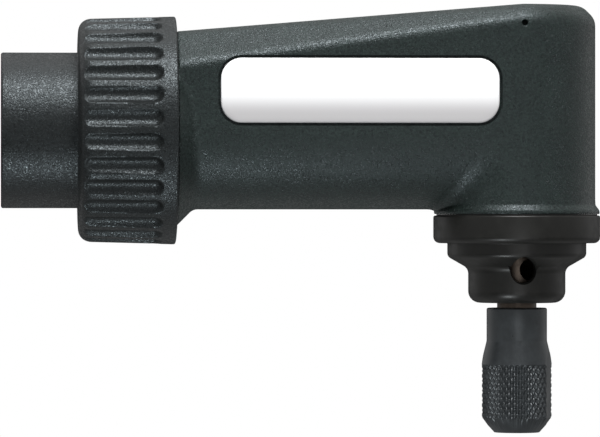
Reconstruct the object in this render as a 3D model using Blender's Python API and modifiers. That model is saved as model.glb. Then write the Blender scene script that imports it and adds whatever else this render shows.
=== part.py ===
"""A right angle attachment for a hand-held rotary tool, modelled piece by piece.

The model is in metres with +Z up, and the sizes below are in millimetres. The origin is the
centre of the coupling nut's open end. +X runs along the input shaft to the head, and the
collet points down.
"""

import math

import bmesh
import bpy
from mathutils import Matrix, Vector

MM = 0.001

# Clearances
SEAT_GAP = 0.3
FIT_GAP = 0.08
GEAR_BACKLASH = 0.2
GROOVE_GAP = 0.15

# How far a cutter runs past the face that it opens, and the usual small chamfer
OVERCUT = 1.0
EDGE_BREAK = 0.3

# Coupling nut
SLEEVE_R = 11.3
SLEEVE_LENGTH = 11.2
SLEEVE_EDGE = 0.45
THREAD_R = 8.6
THREAD_DEPTH = 13.5
MOUTH_CHAMFER = 0.9
RING_WALL = 2.8
RING_TAPER = 0.37
RING_LENGTH = 14.13
RING_CORNER = 1.9
SKIRT_R = 13.4
SNAP_GROOVE_DEPTH = 0.7
SNAP_RING_THICKNESS = 1.2
SNAP_RING_SPLIT = 2.4
SNAP_RING_TURN_DEG = 3.75
FLUTE_COUNT = 30
FLUTE_WIDTH = 2.35
FLUTE_DEPTH = 0.95
FLUTE_START = 0.1
FLUTE_RIM = 2.1
COUPLING_TURN_DEG = -1.0

# Housing: the arm, the collar it turns in and the head
HEAD_X = 75.25
HEAD_R = 11.45
HEAD_TOP_Z = 18.22
HEAD_BOTTOM_Z = -12.15
HEAD_CHAMFER = 1.85
ARM_START_TOP_Z = 14.25
ARM_START_RIDGE_Z = 9.85
BELLY_MARGIN = 0.03
COLLAR_GAP = 0.5
COLLAR_WIDTH = 3.0
COLLAR_HEIGHT = 1.7
SHOULDER_R = 13.8
SHOULDER_STEP = 0.2
SHOULDER_ROOT = 0.8
FLARE_WIDTH = 0.65
FLARE_ROOT = 0.5
FLARE_HEIGHT = 1.2
FLARE_RIM = 0.3
BADGE_RECESS = 0.9
HEAD_WALL = 1.55
CHAMBER_R = 8.6
CHAMBER_CORNER_Z = 7.0
LIP_THICKNESS = 1.65
LIP_R = 5.0
VENT_R = 0.58
VENT_DEPTH = 2.6
VENT_Z = 15.4

# Nameplate
BADGE_LENGTH = 40.1
BADGE_HEIGHT = 9.3
BADGE_THICKNESS = 0.6
BADGE_CORNER = 3.0
BADGE_X = 51.55
BADGE_Z = 5.6

# Ball bearings, as bore, outside diameter, width, ball diameter and ball count
INPUT_BEARING = {"bore": 6.0, "outside": 13.0, "width": 5.0, "ball": 2.0, "count": 7}
UPPER_BEARING = {"bore": 5.0, "outside": 11.0, "width": 4.0, "ball": 1.6, "count": 7}
LOWER_BEARING = {"bore": 6.0, "outside": 15.0, "width": 5.0, "ball": 2.2, "count": 7}
UPPER_BEARING_Z = 10.0
LOWER_BEARING_Z = -15.4
RACE_GAP = 0.14
RACE_LAND = 0.4
CAGE_THICKNESS = 0.5
CAGE_WIDTH = 1.0

# Retaining rings
CIRCLIP_THICKNESS = 0.6
CIRCLIP_HEIGHT = 1.3
CIRCLIP_GROOVE = 0.4
CIRCLIP_SPLIT = 2.0
CIRCLIP_TURN_DEG = 7.5

# Drive socket and input shaft
SOCKET_R = 5.2
SOCKET_LENGTH = 9.0
SOCKET_HEX = 6.35
SOCKET_HEX_DEPTH = 5.0
SHAFT_TIP_GAP = 0.3
PIN_R = 0.5
SPACER_WALL = 0.9

# Bevel gears, two alike at right angles
GEAR_TEETH = 13
GEAR_MODULE = 0.8
GEAR_FACE = 2.2
GEAR_PRESSURE_DEG = 20.0
GEAR_ROOT_SHARE = 1.2
GEAR_REACH_SHARE = 0.3
GEAR_HEEL_OVERCUT = 1.25
GEAR_TOE_OVERCUT = 0.75
GEAR_HUB_R = 3.9
PINION_SEAT_R = 2.2

# Output spindle
MESH_ZONE_R = 2.5
JOURNAL_TOP_Z = -6.6
SPINDLE_BODY_R = 3.9
SPINDLE_BODY_END_Z = -22.9
NECK_R = 2.876
NOSE_THREAD_R = 3.57
NOSE_THREAD_START_Z = -27.4
SPINDLE_END_Z = -38.6
COLLET_BORE_R = 2.45
COLLET_BORE_DEPTH = 10.2
SPINDLE_TOP_MARGIN = 0.2

# Bearing cap
FLANGE_STEP = 0.75
FLANGE_HEIGHT = 3.95
FLANGE_EDGE = 0.9
FLANGE_TOP_EDGE = 0.3
TIER_STEP = 2.05
TIER_HEIGHT = 1.78
HUB_CURVE_HEIGHT = 2.12
HUB_R = 7.1
HUB_END_Z = -25.1
HUB_CORNER = 1.9
HUB_WALL = 0.8
HUB_BORE_R = 4.3
SPIGOT_TOP_Z = -8.8
LOCK_HOLE_R = 1.94
LOCK_HOLE_Z = -20.25
LOCK_HOLE_TURN_DEG = -88.0
CROSS_HOLE_R = 1.65
CROSS_HOLE_TURN_DEG = -65.0
RING_SECTION_R = 0.45
SEAL_THICKNESS = 0.8

# Collet and its nut
COLLET_R = 2.35
COLLET_JAW_R = 1.6
COLLET_NOSE_R = 1.95
COLLET_LENGTH = 13.2
COLLET_NOSE_LENGTH = 2.8
COLLET_SLOT = 0.5
COLLET_SLOT_TURN_DEG = 7.5
COLLET_SOLID_TOP = 2.6
NUT_TOP_Z = -25.84
NUT_UPPER_R = 4.41
NUT_UPPER_HEIGHT = 4.82
NUT_CONE_HEIGHT = 3.5
NUT_R = 5.13
NUT_LENGTH = 18.19
NUT_CHAMFER_R = 3.285
NUT_CHAMFER_HEIGHT = 2.05
NUT_EXIT_R = 2.05
NUT_FLATS = 9.525
NUT_FLAT_TURN_DEG = -18.0

# Roundness, as sides of a full turn
FINE_STEPS = 60
ROUND_STEPS = 40
MEDIUM_STEPS = 30
SMALL_STEPS = 20
HOLE_STEPS = 16
TINY_STEPS = 10
FLUTE_SIDES = 6
FLUTE_END_RINGS = 5
BALL_SIDES = 6
BALL_RINGS = 4
ARC_STEPS = 3
EDGE_STEPS = 2
BADGE_CORNER_STEPS = 5
GEAR_FLANK_STEPS = 2
HALF_STEP_DEG = 180 / ROUND_STEPS
SHARP_EDGE_DEG = 30
MERGE_DISTANCE = 0.001
EMPTY_SIZE = 4.0

# Finishes, as linear colour, metallic and roughness
MOULDED = ((0.042, 0.050, 0.048), 0.0, 0.55)
BADGE_WHITE = ((0.80, 0.80, 0.80), 0.0, 0.35)
BLACK_OXIDE = ((0.028, 0.031, 0.034), 0.75, 0.42)
CAP_BLACK = ((0.022, 0.020, 0.018), 0.2, 0.38)
BRIGHT_STEEL = ((0.55, 0.55, 0.56), 1.0, 0.25)
BROWN_STEEL = ((0.20, 0.17, 0.14), 0.9, 0.40)
SPRING_STEEL = ((0.16, 0.16, 0.17), 0.9, 0.40)
BRASS = ((0.60, 0.42, 0.18), 1.0, 0.35)
RUBBER = ((0.012, 0.012, 0.012), 0.0, 0.75)

# The cap and the flared parts of the case, from the head
BELLY_R = HEAD_R + BELLY_MARGIN
FLARE_R = HEAD_R + FLARE_WIDTH
SPIGOT_R = HEAD_R - HEAD_WALL
FLANGE_R = HEAD_R + FLANGE_STEP
TIER_R = FLANGE_R - TIER_STEP

# The coupling nut's ring and the collar that it turns on, from its skirt
RING_R = SKIRT_R + RING_WALL
RING_END_R = RING_R + RING_TAPER
COLLAR_R = SKIRT_R - COLLAR_GAP
JOURNAL_R = COLLAR_R - COLLAR_HEIGHT

# Places along the input axis, from the driving sizes
RING_END_X = SLEEVE_LENGTH + RING_LENGTH
HOUSING_FACE_X = RING_END_X + SEAT_GAP
COLLAR_X = THREAD_DEPTH + SEAT_GAP
COLLAR_END_X = COLLAR_X + COLLAR_WIDTH
SNAP_RING_X = COLLAR_END_X + SEAT_GAP
SOCKET_X = COLLAR_X + GROOVE_GAP
SOCKET_END_X = SOCKET_X + SOCKET_LENGTH
INPUT_CLIP_X = SOCKET_END_X + 2 * SEAT_GAP
REAR_BEARING_X = INPUT_CLIP_X + CIRCLIP_THICKNESS + SEAT_GAP
LIP_X = HEAD_X - CHAMBER_R - LIP_THICKNESS
FRONT_BEARING_X = LIP_X - SEAT_GAP - INPUT_BEARING["width"]
BORE_R = INPUT_BEARING["outside"] / 2 + FIT_GAP
SHAFT_R = INPUT_BEARING["bore"] / 2 - FIT_GAP

# Places along the output axis
FLANGE_TOP_Z = HEAD_BOTTOM_Z - SEAT_GAP
FLANGE_LOW_Z = FLANGE_TOP_Z - FLANGE_HEIGHT
TIER_LOW_Z = FLANGE_LOW_Z - TIER_HEIGHT
HUB_CURVE_Z = TIER_LOW_Z - HUB_CURVE_HEIGHT
LOWER_BEARING_TOP_Z = LOWER_BEARING_Z + LOWER_BEARING["width"]
LOWER_POCKET_R = LOWER_BEARING["outside"] / 2 + FIT_GAP
LOWER_SHAFT_R = LOWER_BEARING["bore"] / 2 - FIT_GAP
SPINDLE_CLIP_Z = LOWER_BEARING_TOP_Z + SEAT_GAP
UPPER_BEARING_TOP_Z = UPPER_BEARING_Z + UPPER_BEARING["width"]
UPPER_POCKET_R = UPPER_BEARING["outside"] / 2 + FIT_GAP
COLLET_END_Z = SPINDLE_END_Z - COLLET_NOSE_LENGTH - SEAT_GAP
NUT_END_Z = NUT_TOP_Z - NUT_LENGTH

# Bevel gear geometry: the pitch cones stand at half a right angle
PITCH_R = GEAR_MODULE * GEAR_TEETH / 2
PITCH_ANGLE = math.radians(45)
CONE_DISTANCE = PITCH_R / math.sin(PITCH_ANGLE)
TOE_SCALE = 1 - GEAR_FACE / CONE_DISTANCE
BACK_CONE_R = PITCH_R / math.cos(PITCH_ANGLE)
BACK_CONE_DEPTH = CONE_DISTANCE / math.cos(PITCH_ANGLE)
TIP_DISTANCE = BACK_CONE_R + GEAR_MODULE
ROOT_DISTANCE = BACK_CONE_R - GEAR_ROOT_SHARE * GEAR_MODULE


def make_collection(name):
    collection = bpy.data.collections.new(name)
    bpy.context.scene.collection.children.link(collection)
    return collection


def clear_scene():
    for obj in list(bpy.data.objects):
        bpy.data.objects.remove(obj, do_unlink=True)


def make_material(name, finish):
    colour, metallic, roughness = finish
    material = bpy.data.materials.new(name + "_finish")
    material.use_nodes = True
    shader = material.node_tree.nodes["Principled BSDF"]
    shader.inputs["Base Color"].default_value = (*colour, 1.0)
    shader.inputs["Metallic"].default_value = metallic
    shader.inputs["Roughness"].default_value = roughness
    material.diffuse_color = (*colour, 1.0)
    return material


def axis_empty(name, place, along_x=False, turn_deg=0.0, parent=None):
    """An empty on a joint's axis. Its Z runs along the axis, and turn_deg turns it about that."""
    empty = bpy.data.objects.new(name, None)
    PARTS.objects.link(empty)
    empty.rotation_mode = "ZYX"
    tilt = math.pi / 2 if along_x else 0.0
    empty.rotation_euler = (0.0, tilt, math.radians(turn_deg))
    empty.location = Vector(place) * MM
    empty.empty_display_size = EMPTY_SIZE * MM
    empty.parent = parent
    return empty


def place_part(name, mesh, parent, finish):
    part = bpy.data.objects.new(name, mesh)
    part.parent = parent
    PARTS.objects.link(part)
    mesh.materials.append(make_material(name, finish))
    return part


def place_cutter(name, mesh, parent):
    cutter = bpy.data.objects.new(name, mesh)
    cutter.parent = parent
    cutter.hide_render = True
    cutter.display_type = "WIRE"
    CUTTERS.objects.link(cutter)
    return cutter


def mesh_from(name, bm):
    bmesh.ops.recalc_face_normals(bm, faces=bm.faces)
    mesh = bpy.data.meshes.new(name)
    bm.to_mesh(mesh)
    bm.free()
    return mesh


def arc(centre, radii, start_deg, end_deg, steps):
    """Points of an elliptical arc as (radius, height) pairs, with both its ends."""
    points = []
    for i in range(steps + 1):
        angle = math.radians(start_deg + (end_deg - start_deg) * i / steps)
        along = centre[0] + radii[0] * math.cos(angle)
        up = centre[1] + radii[1] * math.sin(angle)
        points.append((along, up))
    return points


def profile_mesh(name, outer, inner):
    """A profile for a Screw: down the outer side, then up the inner one."""
    loop = [*reversed(outer), *inner]
    edges = [(i, i + 1) for i in range(len(loop) - 1)]
    if inner:
        edges.append((len(loop) - 1, 0))
    mesh = bpy.data.meshes.new(name)
    mesh.from_pydata([(radius * MM, 0.0, height * MM) for radius, height in loop], edges, [])
    return mesh


def add_screw(obj, steps):
    screw = obj.modifiers.new("turn", "SCREW")
    screw.axis = "Z"
    screw.angle = 2 * math.pi
    screw.steps = steps
    screw.render_steps = steps
    screw.use_merge_vertices = True
    screw.merge_threshold = MERGE_DISTANCE * MM


def turned(name, parent, finish, outer, inner=(), steps=ROUND_STEPS):
    """A turned part. Both lists hold (radius, height) pairs from the low end to the high end."""
    part = place_part(name, profile_mesh(name, outer, inner), parent, finish)
    add_screw(part, steps)
    return part


def turned_cutter(name, parent, outer, inner=(), steps=ROUND_STEPS, turn_deg=0.0):
    """A turned solid for a Boolean. A half step of turn keeps its edges off its neighbour's."""
    cutter = place_cutter(name, profile_mesh(name, outer, inner), parent)
    cutter.rotation_euler.z = math.radians(turn_deg)
    add_screw(cutter, steps)
    return cutter


def closed_profile(outer):
    """The same profile with points on the axis at both ends, which makes it solid."""
    return [(0.0, outer[0][1]), *outer, (0.0, outer[-1][1])]


def box_cutter(name, parent, low, high, turn_deg=0.0):
    bm = bmesh.new()
    size = (Vector(high) - Vector(low)) * MM
    centre = (Vector(high) + Vector(low)) / 2 * MM
    place = Matrix.Translation(centre) @ Matrix.Diagonal((*size, 1.0))
    turn = Matrix.Rotation(math.radians(turn_deg), 4, "Z")
    bmesh.ops.create_cube(bm, size=1.0, matrix=turn @ place)
    return place_cutter(name, mesh_from(name, bm), parent)


def rod_mesh(name, start, end, radius, steps):
    """A plain cylinder between two points."""
    bm = bmesh.new()
    run = (Vector(end) - Vector(start)) * MM
    middle = (Vector(end) + Vector(start)) / 2 * MM
    turn = run.to_track_quat("Z", "Y").to_matrix().to_4x4()
    bmesh.ops.create_cone(
        bm, cap_ends=True, segments=steps, radius1=radius * MM, radius2=radius * MM,
        depth=run.length, matrix=Matrix.Translation(middle) @ turn,
    )
    return mesh_from(name, bm)


def slab_mesh(name, outline, thickness):
    """A flat outline in XY made solid, as a filled curve turned into a mesh."""
    curve = bpy.data.curves.new(name, "CURVE")
    curve.dimensions = "2D"
    curve.fill_mode = "BOTH"
    curve.extrude = thickness * MM / 2
    spline = curve.splines.new("POLY")
    spline.points.add(len(outline) - 1)
    for point, (x, y) in zip(spline.points, outline):
        point.co = (x * MM, y * MM, 0.0, 1.0)
    spline.use_cyclic_u = True
    guide = bpy.data.objects.new(name, curve)
    bpy.context.scene.collection.objects.link(guide)
    bpy.context.view_layer.update()
    graph = bpy.context.evaluated_depsgraph_get()
    mesh = bpy.data.meshes.new_from_object(guide.evaluated_get(graph))
    bpy.data.objects.remove(guide, do_unlink=True)
    bm = bmesh.new()
    bm.from_mesh(mesh)
    bmesh.ops.remove_doubles(bm, verts=bm.verts, dist=MERGE_DISTANCE * MM)
    bmesh.ops.recalc_face_normals(bm, faces=bm.faces)
    bm.to_mesh(mesh)
    bm.free()
    return mesh


def boolean(part, other, operation):
    modifier = part.modifiers.new(operation.lower() + " " + other.name, "BOOLEAN")
    modifier.operation = operation
    modifier.solver = "EXACT"
    modifier.object = other


def cut(part, cutter):
    boolean(part, cutter, "DIFFERENCE")


def join(part, other):
    boolean(part, other, "UNION")


def ring_profile(inner_r, outer_r, low, high):
    """The four corners of a plain ring, as the outer and the inner list of a turned part."""
    return [(outer_r, low), (outer_r, high)], [(inner_r, low), (inner_r, high)]


def circlip(name, parent, inner_r, outer_r, low, high):
    """A retaining ring with its split."""
    outer, inner = ring_profile(inner_r, outer_r, low, high)
    ring = turned(name, parent, SPRING_STEEL, outer, inner, SMALL_STEPS)
    half = CIRCLIP_SPLIT / 2
    split = box_cutter(
        name + "_split", parent, (0, -half, low - OVERCUT),
        (outer_r + OVERCUT, half, high + OVERCUT), CIRCLIP_TURN_DEG,
    )
    cut(ring, split)
    return ring


def build_coupling_nut(axis):
    ring_arc = arc((RING_R - RING_CORNER, SLEEVE_LENGTH + RING_CORNER),
                   (RING_CORNER, RING_CORNER), -90, 0, EDGE_STEPS)
    outer = [
        (SLEEVE_R - SLEEVE_EDGE, 0.0),
        (SLEEVE_R, SLEEVE_EDGE),
        (SLEEVE_R, SLEEVE_LENGTH),
        *ring_arc,
        (RING_END_R, RING_END_X - SLEEVE_EDGE),
        (RING_END_R - SLEEVE_EDGE, RING_END_X),
    ]
    nut = turned("coupling_nut", axis, MOULDED, closed_profile(outer), steps=FINE_STEPS)
    cut(nut, coupling_bore_cutter(axis))
    cut(nut, flute_cutter(axis))
    return nut


def coupling_bore_cutter(axis):
    """The tool's thread at the mouth, then the wider skirt with the snap ring's groove."""
    groove_low = SNAP_RING_X - GROOVE_GAP
    groove_high = SNAP_RING_X + SNAP_RING_THICKNESS + GROOVE_GAP
    groove_r = SKIRT_R + SNAP_GROOVE_DEPTH
    outer = [
        (THREAD_R + MOUTH_CHAMFER + OVERCUT, -OVERCUT),
        (THREAD_R, MOUTH_CHAMFER),
        (THREAD_R, THREAD_DEPTH),
        (SKIRT_R, THREAD_DEPTH),
        (SKIRT_R, groove_low),
        (groove_r, groove_low),
        (groove_r, groove_high),
        (SKIRT_R, groove_high),
        (SKIRT_R, RING_END_X + OVERCUT),
    ]
    return turned_cutter("coupling_bore", axis, closed_profile(outer), steps=MEDIUM_STEPS)


def flute_cutter(axis):
    """Round-ended bars that mill the grip flutes."""
    half_width = FLUTE_WIDTH / 2
    bar_r = (half_width ** 2 + FLUTE_DEPTH ** 2) / (2 * FLUTE_DEPTH)
    centre_r = RING_END_R - FLUTE_DEPTH + bar_r
    low = SLEEVE_LENGTH + FLUTE_START + bar_r
    high = RING_END_X - FLUTE_RIM - bar_r
    barrel_share = math.cos(math.pi / FLUTE_END_RINGS / 2)
    bm = bmesh.new()
    for i in range(FLUTE_COUNT):
        turn = Matrix.Rotation(2 * math.pi * i / FLUTE_COUNT, 4, "Z")
        place = turn @ Matrix.Translation((centre_r * MM, 0.0, low * MM))
        spin = Matrix.Rotation(math.pi / FLUTE_SIDES, 4, "Z")
        made = bmesh.ops.create_uvsphere(
            bm, u_segments=FLUTE_SIDES, v_segments=FLUTE_END_RINGS, radius=bar_r * MM / barrel_share,
            matrix=place @ spin,
        )
        for vert in made["verts"]:
            if vert.co.z > low * MM:
                vert.co.z += (high - low) * MM
    return place_cutter("flute_cutter", mesh_from("flute_cutter", bm), axis)


def build_snap_ring(axis):
    inner_r = JOURNAL_R + 2 * GROOVE_GAP
    outer_r = SKIRT_R + SNAP_GROOVE_DEPTH - 2 * GROOVE_GAP
    low = SNAP_RING_X
    high = SNAP_RING_X + SNAP_RING_THICKNESS
    outer, inner = ring_profile(inner_r, outer_r, low, high)
    ring = turned("coupling_snap_ring", axis, SPRING_STEEL, outer, inner, MEDIUM_STEPS)
    half = SNAP_RING_SPLIT / 2
    split = box_cutter(
        "snap_ring_split", axis, (0, -half, low - OVERCUT),
        (outer_r + OVERCUT, half, high + OVERCUT), SNAP_RING_TURN_DEG,
    )
    cut(ring, split)
    return ring


def plan_outline(start_x, end_x, radius, steps):
    """The case seen from above: straight sides that end in a half circle round the head.

    The half circle's sides touch the true circle at their middles, as the straight sides do."""
    half_step = math.pi / steps / 2
    corner_r = radius / math.cos(half_step)
    outline = [(start_x, -radius)]
    for i in range(steps):
        angle = -math.pi / 2 + math.pi * i / steps + half_step
        outline.append((end_x + corner_r * math.cos(angle), corner_r * math.sin(angle)))
    outline.append((start_x, radius))
    return outline


def roof_stations():
    """Along one side of the arm, round the head and back: place, side direction, top half-width, top."""
    rise = (HEAD_TOP_Z - ARM_START_TOP_Z) / (HEAD_X - HOUSING_FACE_X)
    lead = 2 * OVERCUT
    start_x = HOUSING_FACE_X - lead
    start_top = ARM_START_TOP_Z - lead * rise
    start_drop = ARM_START_TOP_Z - ARM_START_RIDGE_Z
    drop_rise = (HEAD_CHAMFER - start_drop) / (HEAD_X - HOUSING_FACE_X)
    start_width = HEAD_R - (start_drop - lead * drop_rise)
    head_width = HEAD_R - HEAD_CHAMFER
    stations = [((start_x, 0.0), (0.0, -1.0), start_width, start_top)]
    half_steps = ROUND_STEPS // 2
    for i in range(half_steps + 1):
        angle = -math.pi / 2 + math.pi * i / half_steps
        side = (math.cos(angle), math.sin(angle))
        stations.append(((HEAD_X, 0.0), side, head_width, HEAD_TOP_Z))
    stations.append(((start_x, 0.0), (0.0, 1.0), start_width, start_top))
    return stations


def roof_cutter(frame):
    """All that lies above the case: the rising top, its sloped shoulders and the head's chamfer.

    Its section changes along the arm and then swings round the head, so it is a loft."""
    reach = HEAD_R + 2 * OVERCUT
    lid = HEAD_TOP_Z + 4 * OVERCUT
    bm = bmesh.new()
    rows = []
    for (x, y), (side_x, side_y), width, top in roof_stations():
        drop = reach - width
        corners = ((width, top), (reach, top - drop), (reach, lid))
        rows.append([
            bm.verts.new(((x + side_x * out) * MM, (y + side_y * out) * MM, z * MM))
            for out, z in corners
        ])
    for this, following in zip(rows, rows[1:]):
        bm.faces.new((this[0], this[1], following[1], following[0]))
        bm.faces.new((this[1], this[2], following[2], following[1]))
    bm.faces.new([row[2] for row in rows])
    bm.faces.new((rows[0][0], rows[1][0], rows[-2][0], rows[-1][0]))
    bm.faces.new([row[0] for row in rows[1:-1]])
    bm.faces.new((*rows[0], *reversed(rows[-1])))
    return place_cutter("roof_cutter", mesh_from("roof_cutter", bm), frame)


def belly_cutter(frame):
    """What lies under the arm, down to its round belly and back to the head's round barrel.

    Belly and barrel meet in a mitre, which one loft follows from side to side."""
    start_x = HOUSING_FACE_X - 2 * OVERCUT
    low = HEAD_BOTTOM_Z - 5 * OVERCUT
    reach = BELLY_R + 3 * OVERCUT
    half_steps = ROUND_STEPS // 2
    bm = bmesh.new()

    def corner(x, y, z):
        return bm.verts.new((x * MM, y * MM, z * MM))

    rows = []
    for i in range(half_steps + 1):
        angle = math.pi * i / half_steps
        y = BELLY_R * math.cos(angle)
        sunk = BELLY_R * math.sin(angle)
        rows.append((corner(start_x, y, -sunk), corner(HEAD_X - sunk, y, -sunk),
                     corner(HEAD_X - sunk, y, low)))
    sides = [
        (corner(start_x, y, 0), corner(HEAD_X, y, 0), corner(HEAD_X, y, low), corner(start_x, y, low))
        for y in (reach, -reach)
    ]
    for this, following in zip(rows, rows[1:]):
        bm.faces.new((this[0], following[0], following[1], this[1]))
        bm.faces.new((this[1], following[1], following[2], this[2]))
    for side, row in ((sides[0], rows[0]), (sides[1], rows[-1])):
        bm.faces.new(side)
        bm.faces.new((row[0], row[1], side[1], side[0]))
        bm.faces.new((row[1], row[2], side[2], side[1]))
    bm.faces.new((sides[0][0], *[row[0] for row in rows], sides[1][0], sides[1][3], sides[0][3]))
    bm.faces.new((sides[0][2], *[row[2] for row in rows], sides[1][2], sides[1][3], sides[0][3]))
    return place_cutter("belly_cutter", mesh_from("belly_cutter", bm), frame)


def shoulder_solid(input_line):
    """The collar that the coupling turns on, its journal and the flared shoulder behind it."""
    shoulder_x = HOUSING_FACE_X + SHOULDER_STEP
    root_r = HEAD_R - SHOULDER_ROOT
    outer = [
        (COLLAR_R, COLLAR_X),
        (COLLAR_R, COLLAR_END_X),
        (JOURNAL_R, COLLAR_END_X),
        (JOURNAL_R, shoulder_x),
        (SHOULDER_R, shoulder_x),
        (root_r, shoulder_x + SHOULDER_R - root_r),
    ]
    return turned_cutter(
        "shoulder_solid", input_line, closed_profile(outer), turn_deg=HALF_STEP_DEG
    )


def head_flare(output_line):
    """The small skirt round the head's open bottom."""
    root_r = SPIGOT_R + FLARE_ROOT
    bore_side_r = SPIGOT_R - FLARE_ROOT
    rim_top = HEAD_BOTTOM_Z + FLARE_RIM
    slope = FLARE_HEIGHT / (FLARE_R - HEAD_R)
    top = rim_top + slope * (FLARE_R - root_r)
    outer = [(FLARE_R, HEAD_BOTTOM_Z), (FLARE_R, rim_top), (root_r, top)]
    inner = [(bore_side_r, HEAD_BOTTOM_Z), (bore_side_r, top)]
    return turned_cutter("head_flare", output_line, outer, inner, turn_deg=HALF_STEP_DEG / 2)


def input_bore_cutter(input_line):
    clip_low = INPUT_CLIP_X - GROOVE_GAP
    clip_high = INPUT_CLIP_X + CIRCLIP_THICKNESS + GROOVE_GAP
    clip_r = BORE_R + CIRCLIP_GROOVE + GROOVE_GAP
    outer = [
        (BORE_R, COLLAR_X - OVERCUT),
        (BORE_R, clip_low),
        (clip_r, clip_low),
        (clip_r, clip_high),
        (BORE_R, clip_high),
        (BORE_R, LIP_X),
        (LIP_R, LIP_X),
        (LIP_R, HEAD_X - OVERCUT),
    ]
    return turned_cutter(
        "input_bore", input_line, closed_profile(outer), steps=MEDIUM_STEPS, turn_deg=HALF_STEP_DEG
    )


def head_bore_cutter(output_line):
    cap_bore_r = SPIGOT_R + FIT_GAP
    outer = [
        (cap_bore_r, HEAD_BOTTOM_Z - OVERCUT),
        (cap_bore_r, SPIGOT_TOP_Z + SEAT_GAP),
        (CHAMBER_R, SPIGOT_TOP_Z + SEAT_GAP),
        (CHAMBER_R, CHAMBER_CORNER_Z),
        (UPPER_POCKET_R, UPPER_BEARING_Z - SEAT_GAP),
        (UPPER_POCKET_R, UPPER_BEARING_TOP_Z + SEAT_GAP),
    ]
    return turned_cutter("head_bore", output_line, closed_profile(outer), steps=MEDIUM_STEPS)


def rounded_outline(length, height, corner, steps):
    outline = []
    centres = (
        (length / 2 - corner, height / 2 - corner, 0),
        (corner - length / 2, height / 2 - corner, 90),
        (corner - length / 2, corner - height / 2, 180),
        (length / 2 - corner, corner - height / 2, 270),
    )
    for x, y, start in centres:
        outline.extend(arc((x, y), (corner, corner), start, start + 90, steps))
    return outline


def badge_slab(name, margin, back, front):
    """The badge's outline grown by a margin, stood up on the case's front side."""
    outline = rounded_outline(
        BADGE_LENGTH + 2 * margin, BADGE_HEIGHT + 2 * margin, BADGE_CORNER + margin,
        BADGE_CORNER_STEPS,
    )
    mesh = slab_mesh(name, outline, front - back)
    upright = Matrix.Rotation(math.pi / 2, 4, "X")
    mesh.transform(upright)
    mesh.transform(Matrix.Translation(Vector((BADGE_X, -(front + back) / 2, BADGE_Z)) * MM))
    return mesh


def build_housing(frame, input_line, output_line):
    outline = plan_outline(HOUSING_FACE_X, HEAD_X, HEAD_R, ROUND_STEPS // 2)
    low = HEAD_BOTTOM_Z + 2 * FLARE_RIM
    height = HEAD_TOP_Z + OVERCUT - low
    mesh = slab_mesh("gear_housing", outline, height)
    mesh.transform(Matrix.Translation((0.0, 0.0, (low + height / 2) * MM)))
    housing = place_part("gear_housing", mesh, frame, MOULDED)
    cut(housing, roof_cutter(frame))
    cut(housing, belly_cutter(frame))
    join(housing, head_flare(output_line))
    join(housing, shoulder_solid(input_line))
    cut(housing, input_bore_cutter(input_line))
    cut(housing, head_bore_cutter(output_line))
    recess = badge_slab("badge_recess", SEAT_GAP, HEAD_R - BADGE_RECESS, HEAD_R + OVERCUT)
    cut(housing, place_cutter("badge_recess", recess, frame))
    vent = rod_mesh(
        "vent_hole", (HEAD_X, -HEAD_R - OVERCUT, VENT_Z), (HEAD_X, -HEAD_R + VENT_DEPTH, VENT_Z),
        VENT_R, TINY_STEPS,
    )
    cut(housing, place_cutter("vent_hole", vent, frame))
    return housing


def build_nameplate(frame):
    back = HEAD_R - BADGE_RECESS + SEAT_GAP
    mesh = badge_slab("nameplate", 0.0, back, back + BADGE_THICKNESS)
    return place_part("nameplate", mesh, frame, BADGE_WHITE)


def build_bearing(name, bearing, low, still, turning, cage_axis):
    """Outer ring, inner ring, and the balls held in their cage."""
    bore_r = bearing["bore"] / 2
    outside_r = bearing["outside"] / 2
    ball_r = bearing["ball"] / 2
    high = low + bearing["width"]
    middle = (low + high) / 2
    pitch_r = (bore_r + outside_r) / 2
    race_r = ball_r + RACE_GAP
    land_r = race_r - RACE_LAND
    flat = ball_r / 2
    outer_race = [
        (pitch_r + land_r, low),
        (pitch_r + race_r, middle - flat),
        (pitch_r + race_r, middle + flat),
        (pitch_r + land_r, high),
    ]
    inner_race = [(2 * pitch_r - radius, height) for radius, height in outer_race]
    turned(name + "_outer", still, BRIGHT_STEEL,
           [(outside_r, low), (outside_r, high)], outer_race, SMALL_STEPS)
    turned(name + "_inner", turning, BRIGHT_STEEL,
           inner_race, [(bore_r, low), (bore_r, high)], SMALL_STEPS)
    build_cage(name + "_cage", bearing, pitch_r, middle, cage_axis)


def build_cage(name, bearing, pitch_r, middle, axis):
    half_wall = CAGE_THICKNESS / 2
    half_width = CAGE_WIDTH / 2
    outer, inner = ring_profile(
        pitch_r - half_wall, pitch_r + half_wall, middle - half_width, middle + half_width
    )
    cage = turned(name, axis, BRASS, outer, inner, 2 * bearing["count"])
    bm = bmesh.new()
    for i in range(bearing["count"]):
        turn = Matrix.Rotation(2 * math.pi * i / bearing["count"], 4, "Z")
        place = turn @ Matrix.Translation((pitch_r * MM, 0.0, middle * MM))
        bmesh.ops.create_uvsphere(
            bm, u_segments=BALL_SIDES, v_segments=BALL_RINGS, radius=bearing["ball"] / 2 * MM,
            matrix=place,
        )
    balls = place_cutter(name + "_balls", mesh_from(name + "_balls", bm), axis)
    join(cage, balls)


def gear_point(distance, angle, scale):
    """A point on the back cone, drawn towards the apex by scale. The apex is at height 0."""
    radius = distance * math.cos(PITCH_ANGLE) * scale
    height = -(BACK_CONE_DEPTH - distance * math.sin(PITCH_ANGLE)) * scale
    turn = angle / math.cos(PITCH_ANGLE)
    return Vector((radius * math.cos(turn), radius * math.sin(turn), height)) * MM


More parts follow.
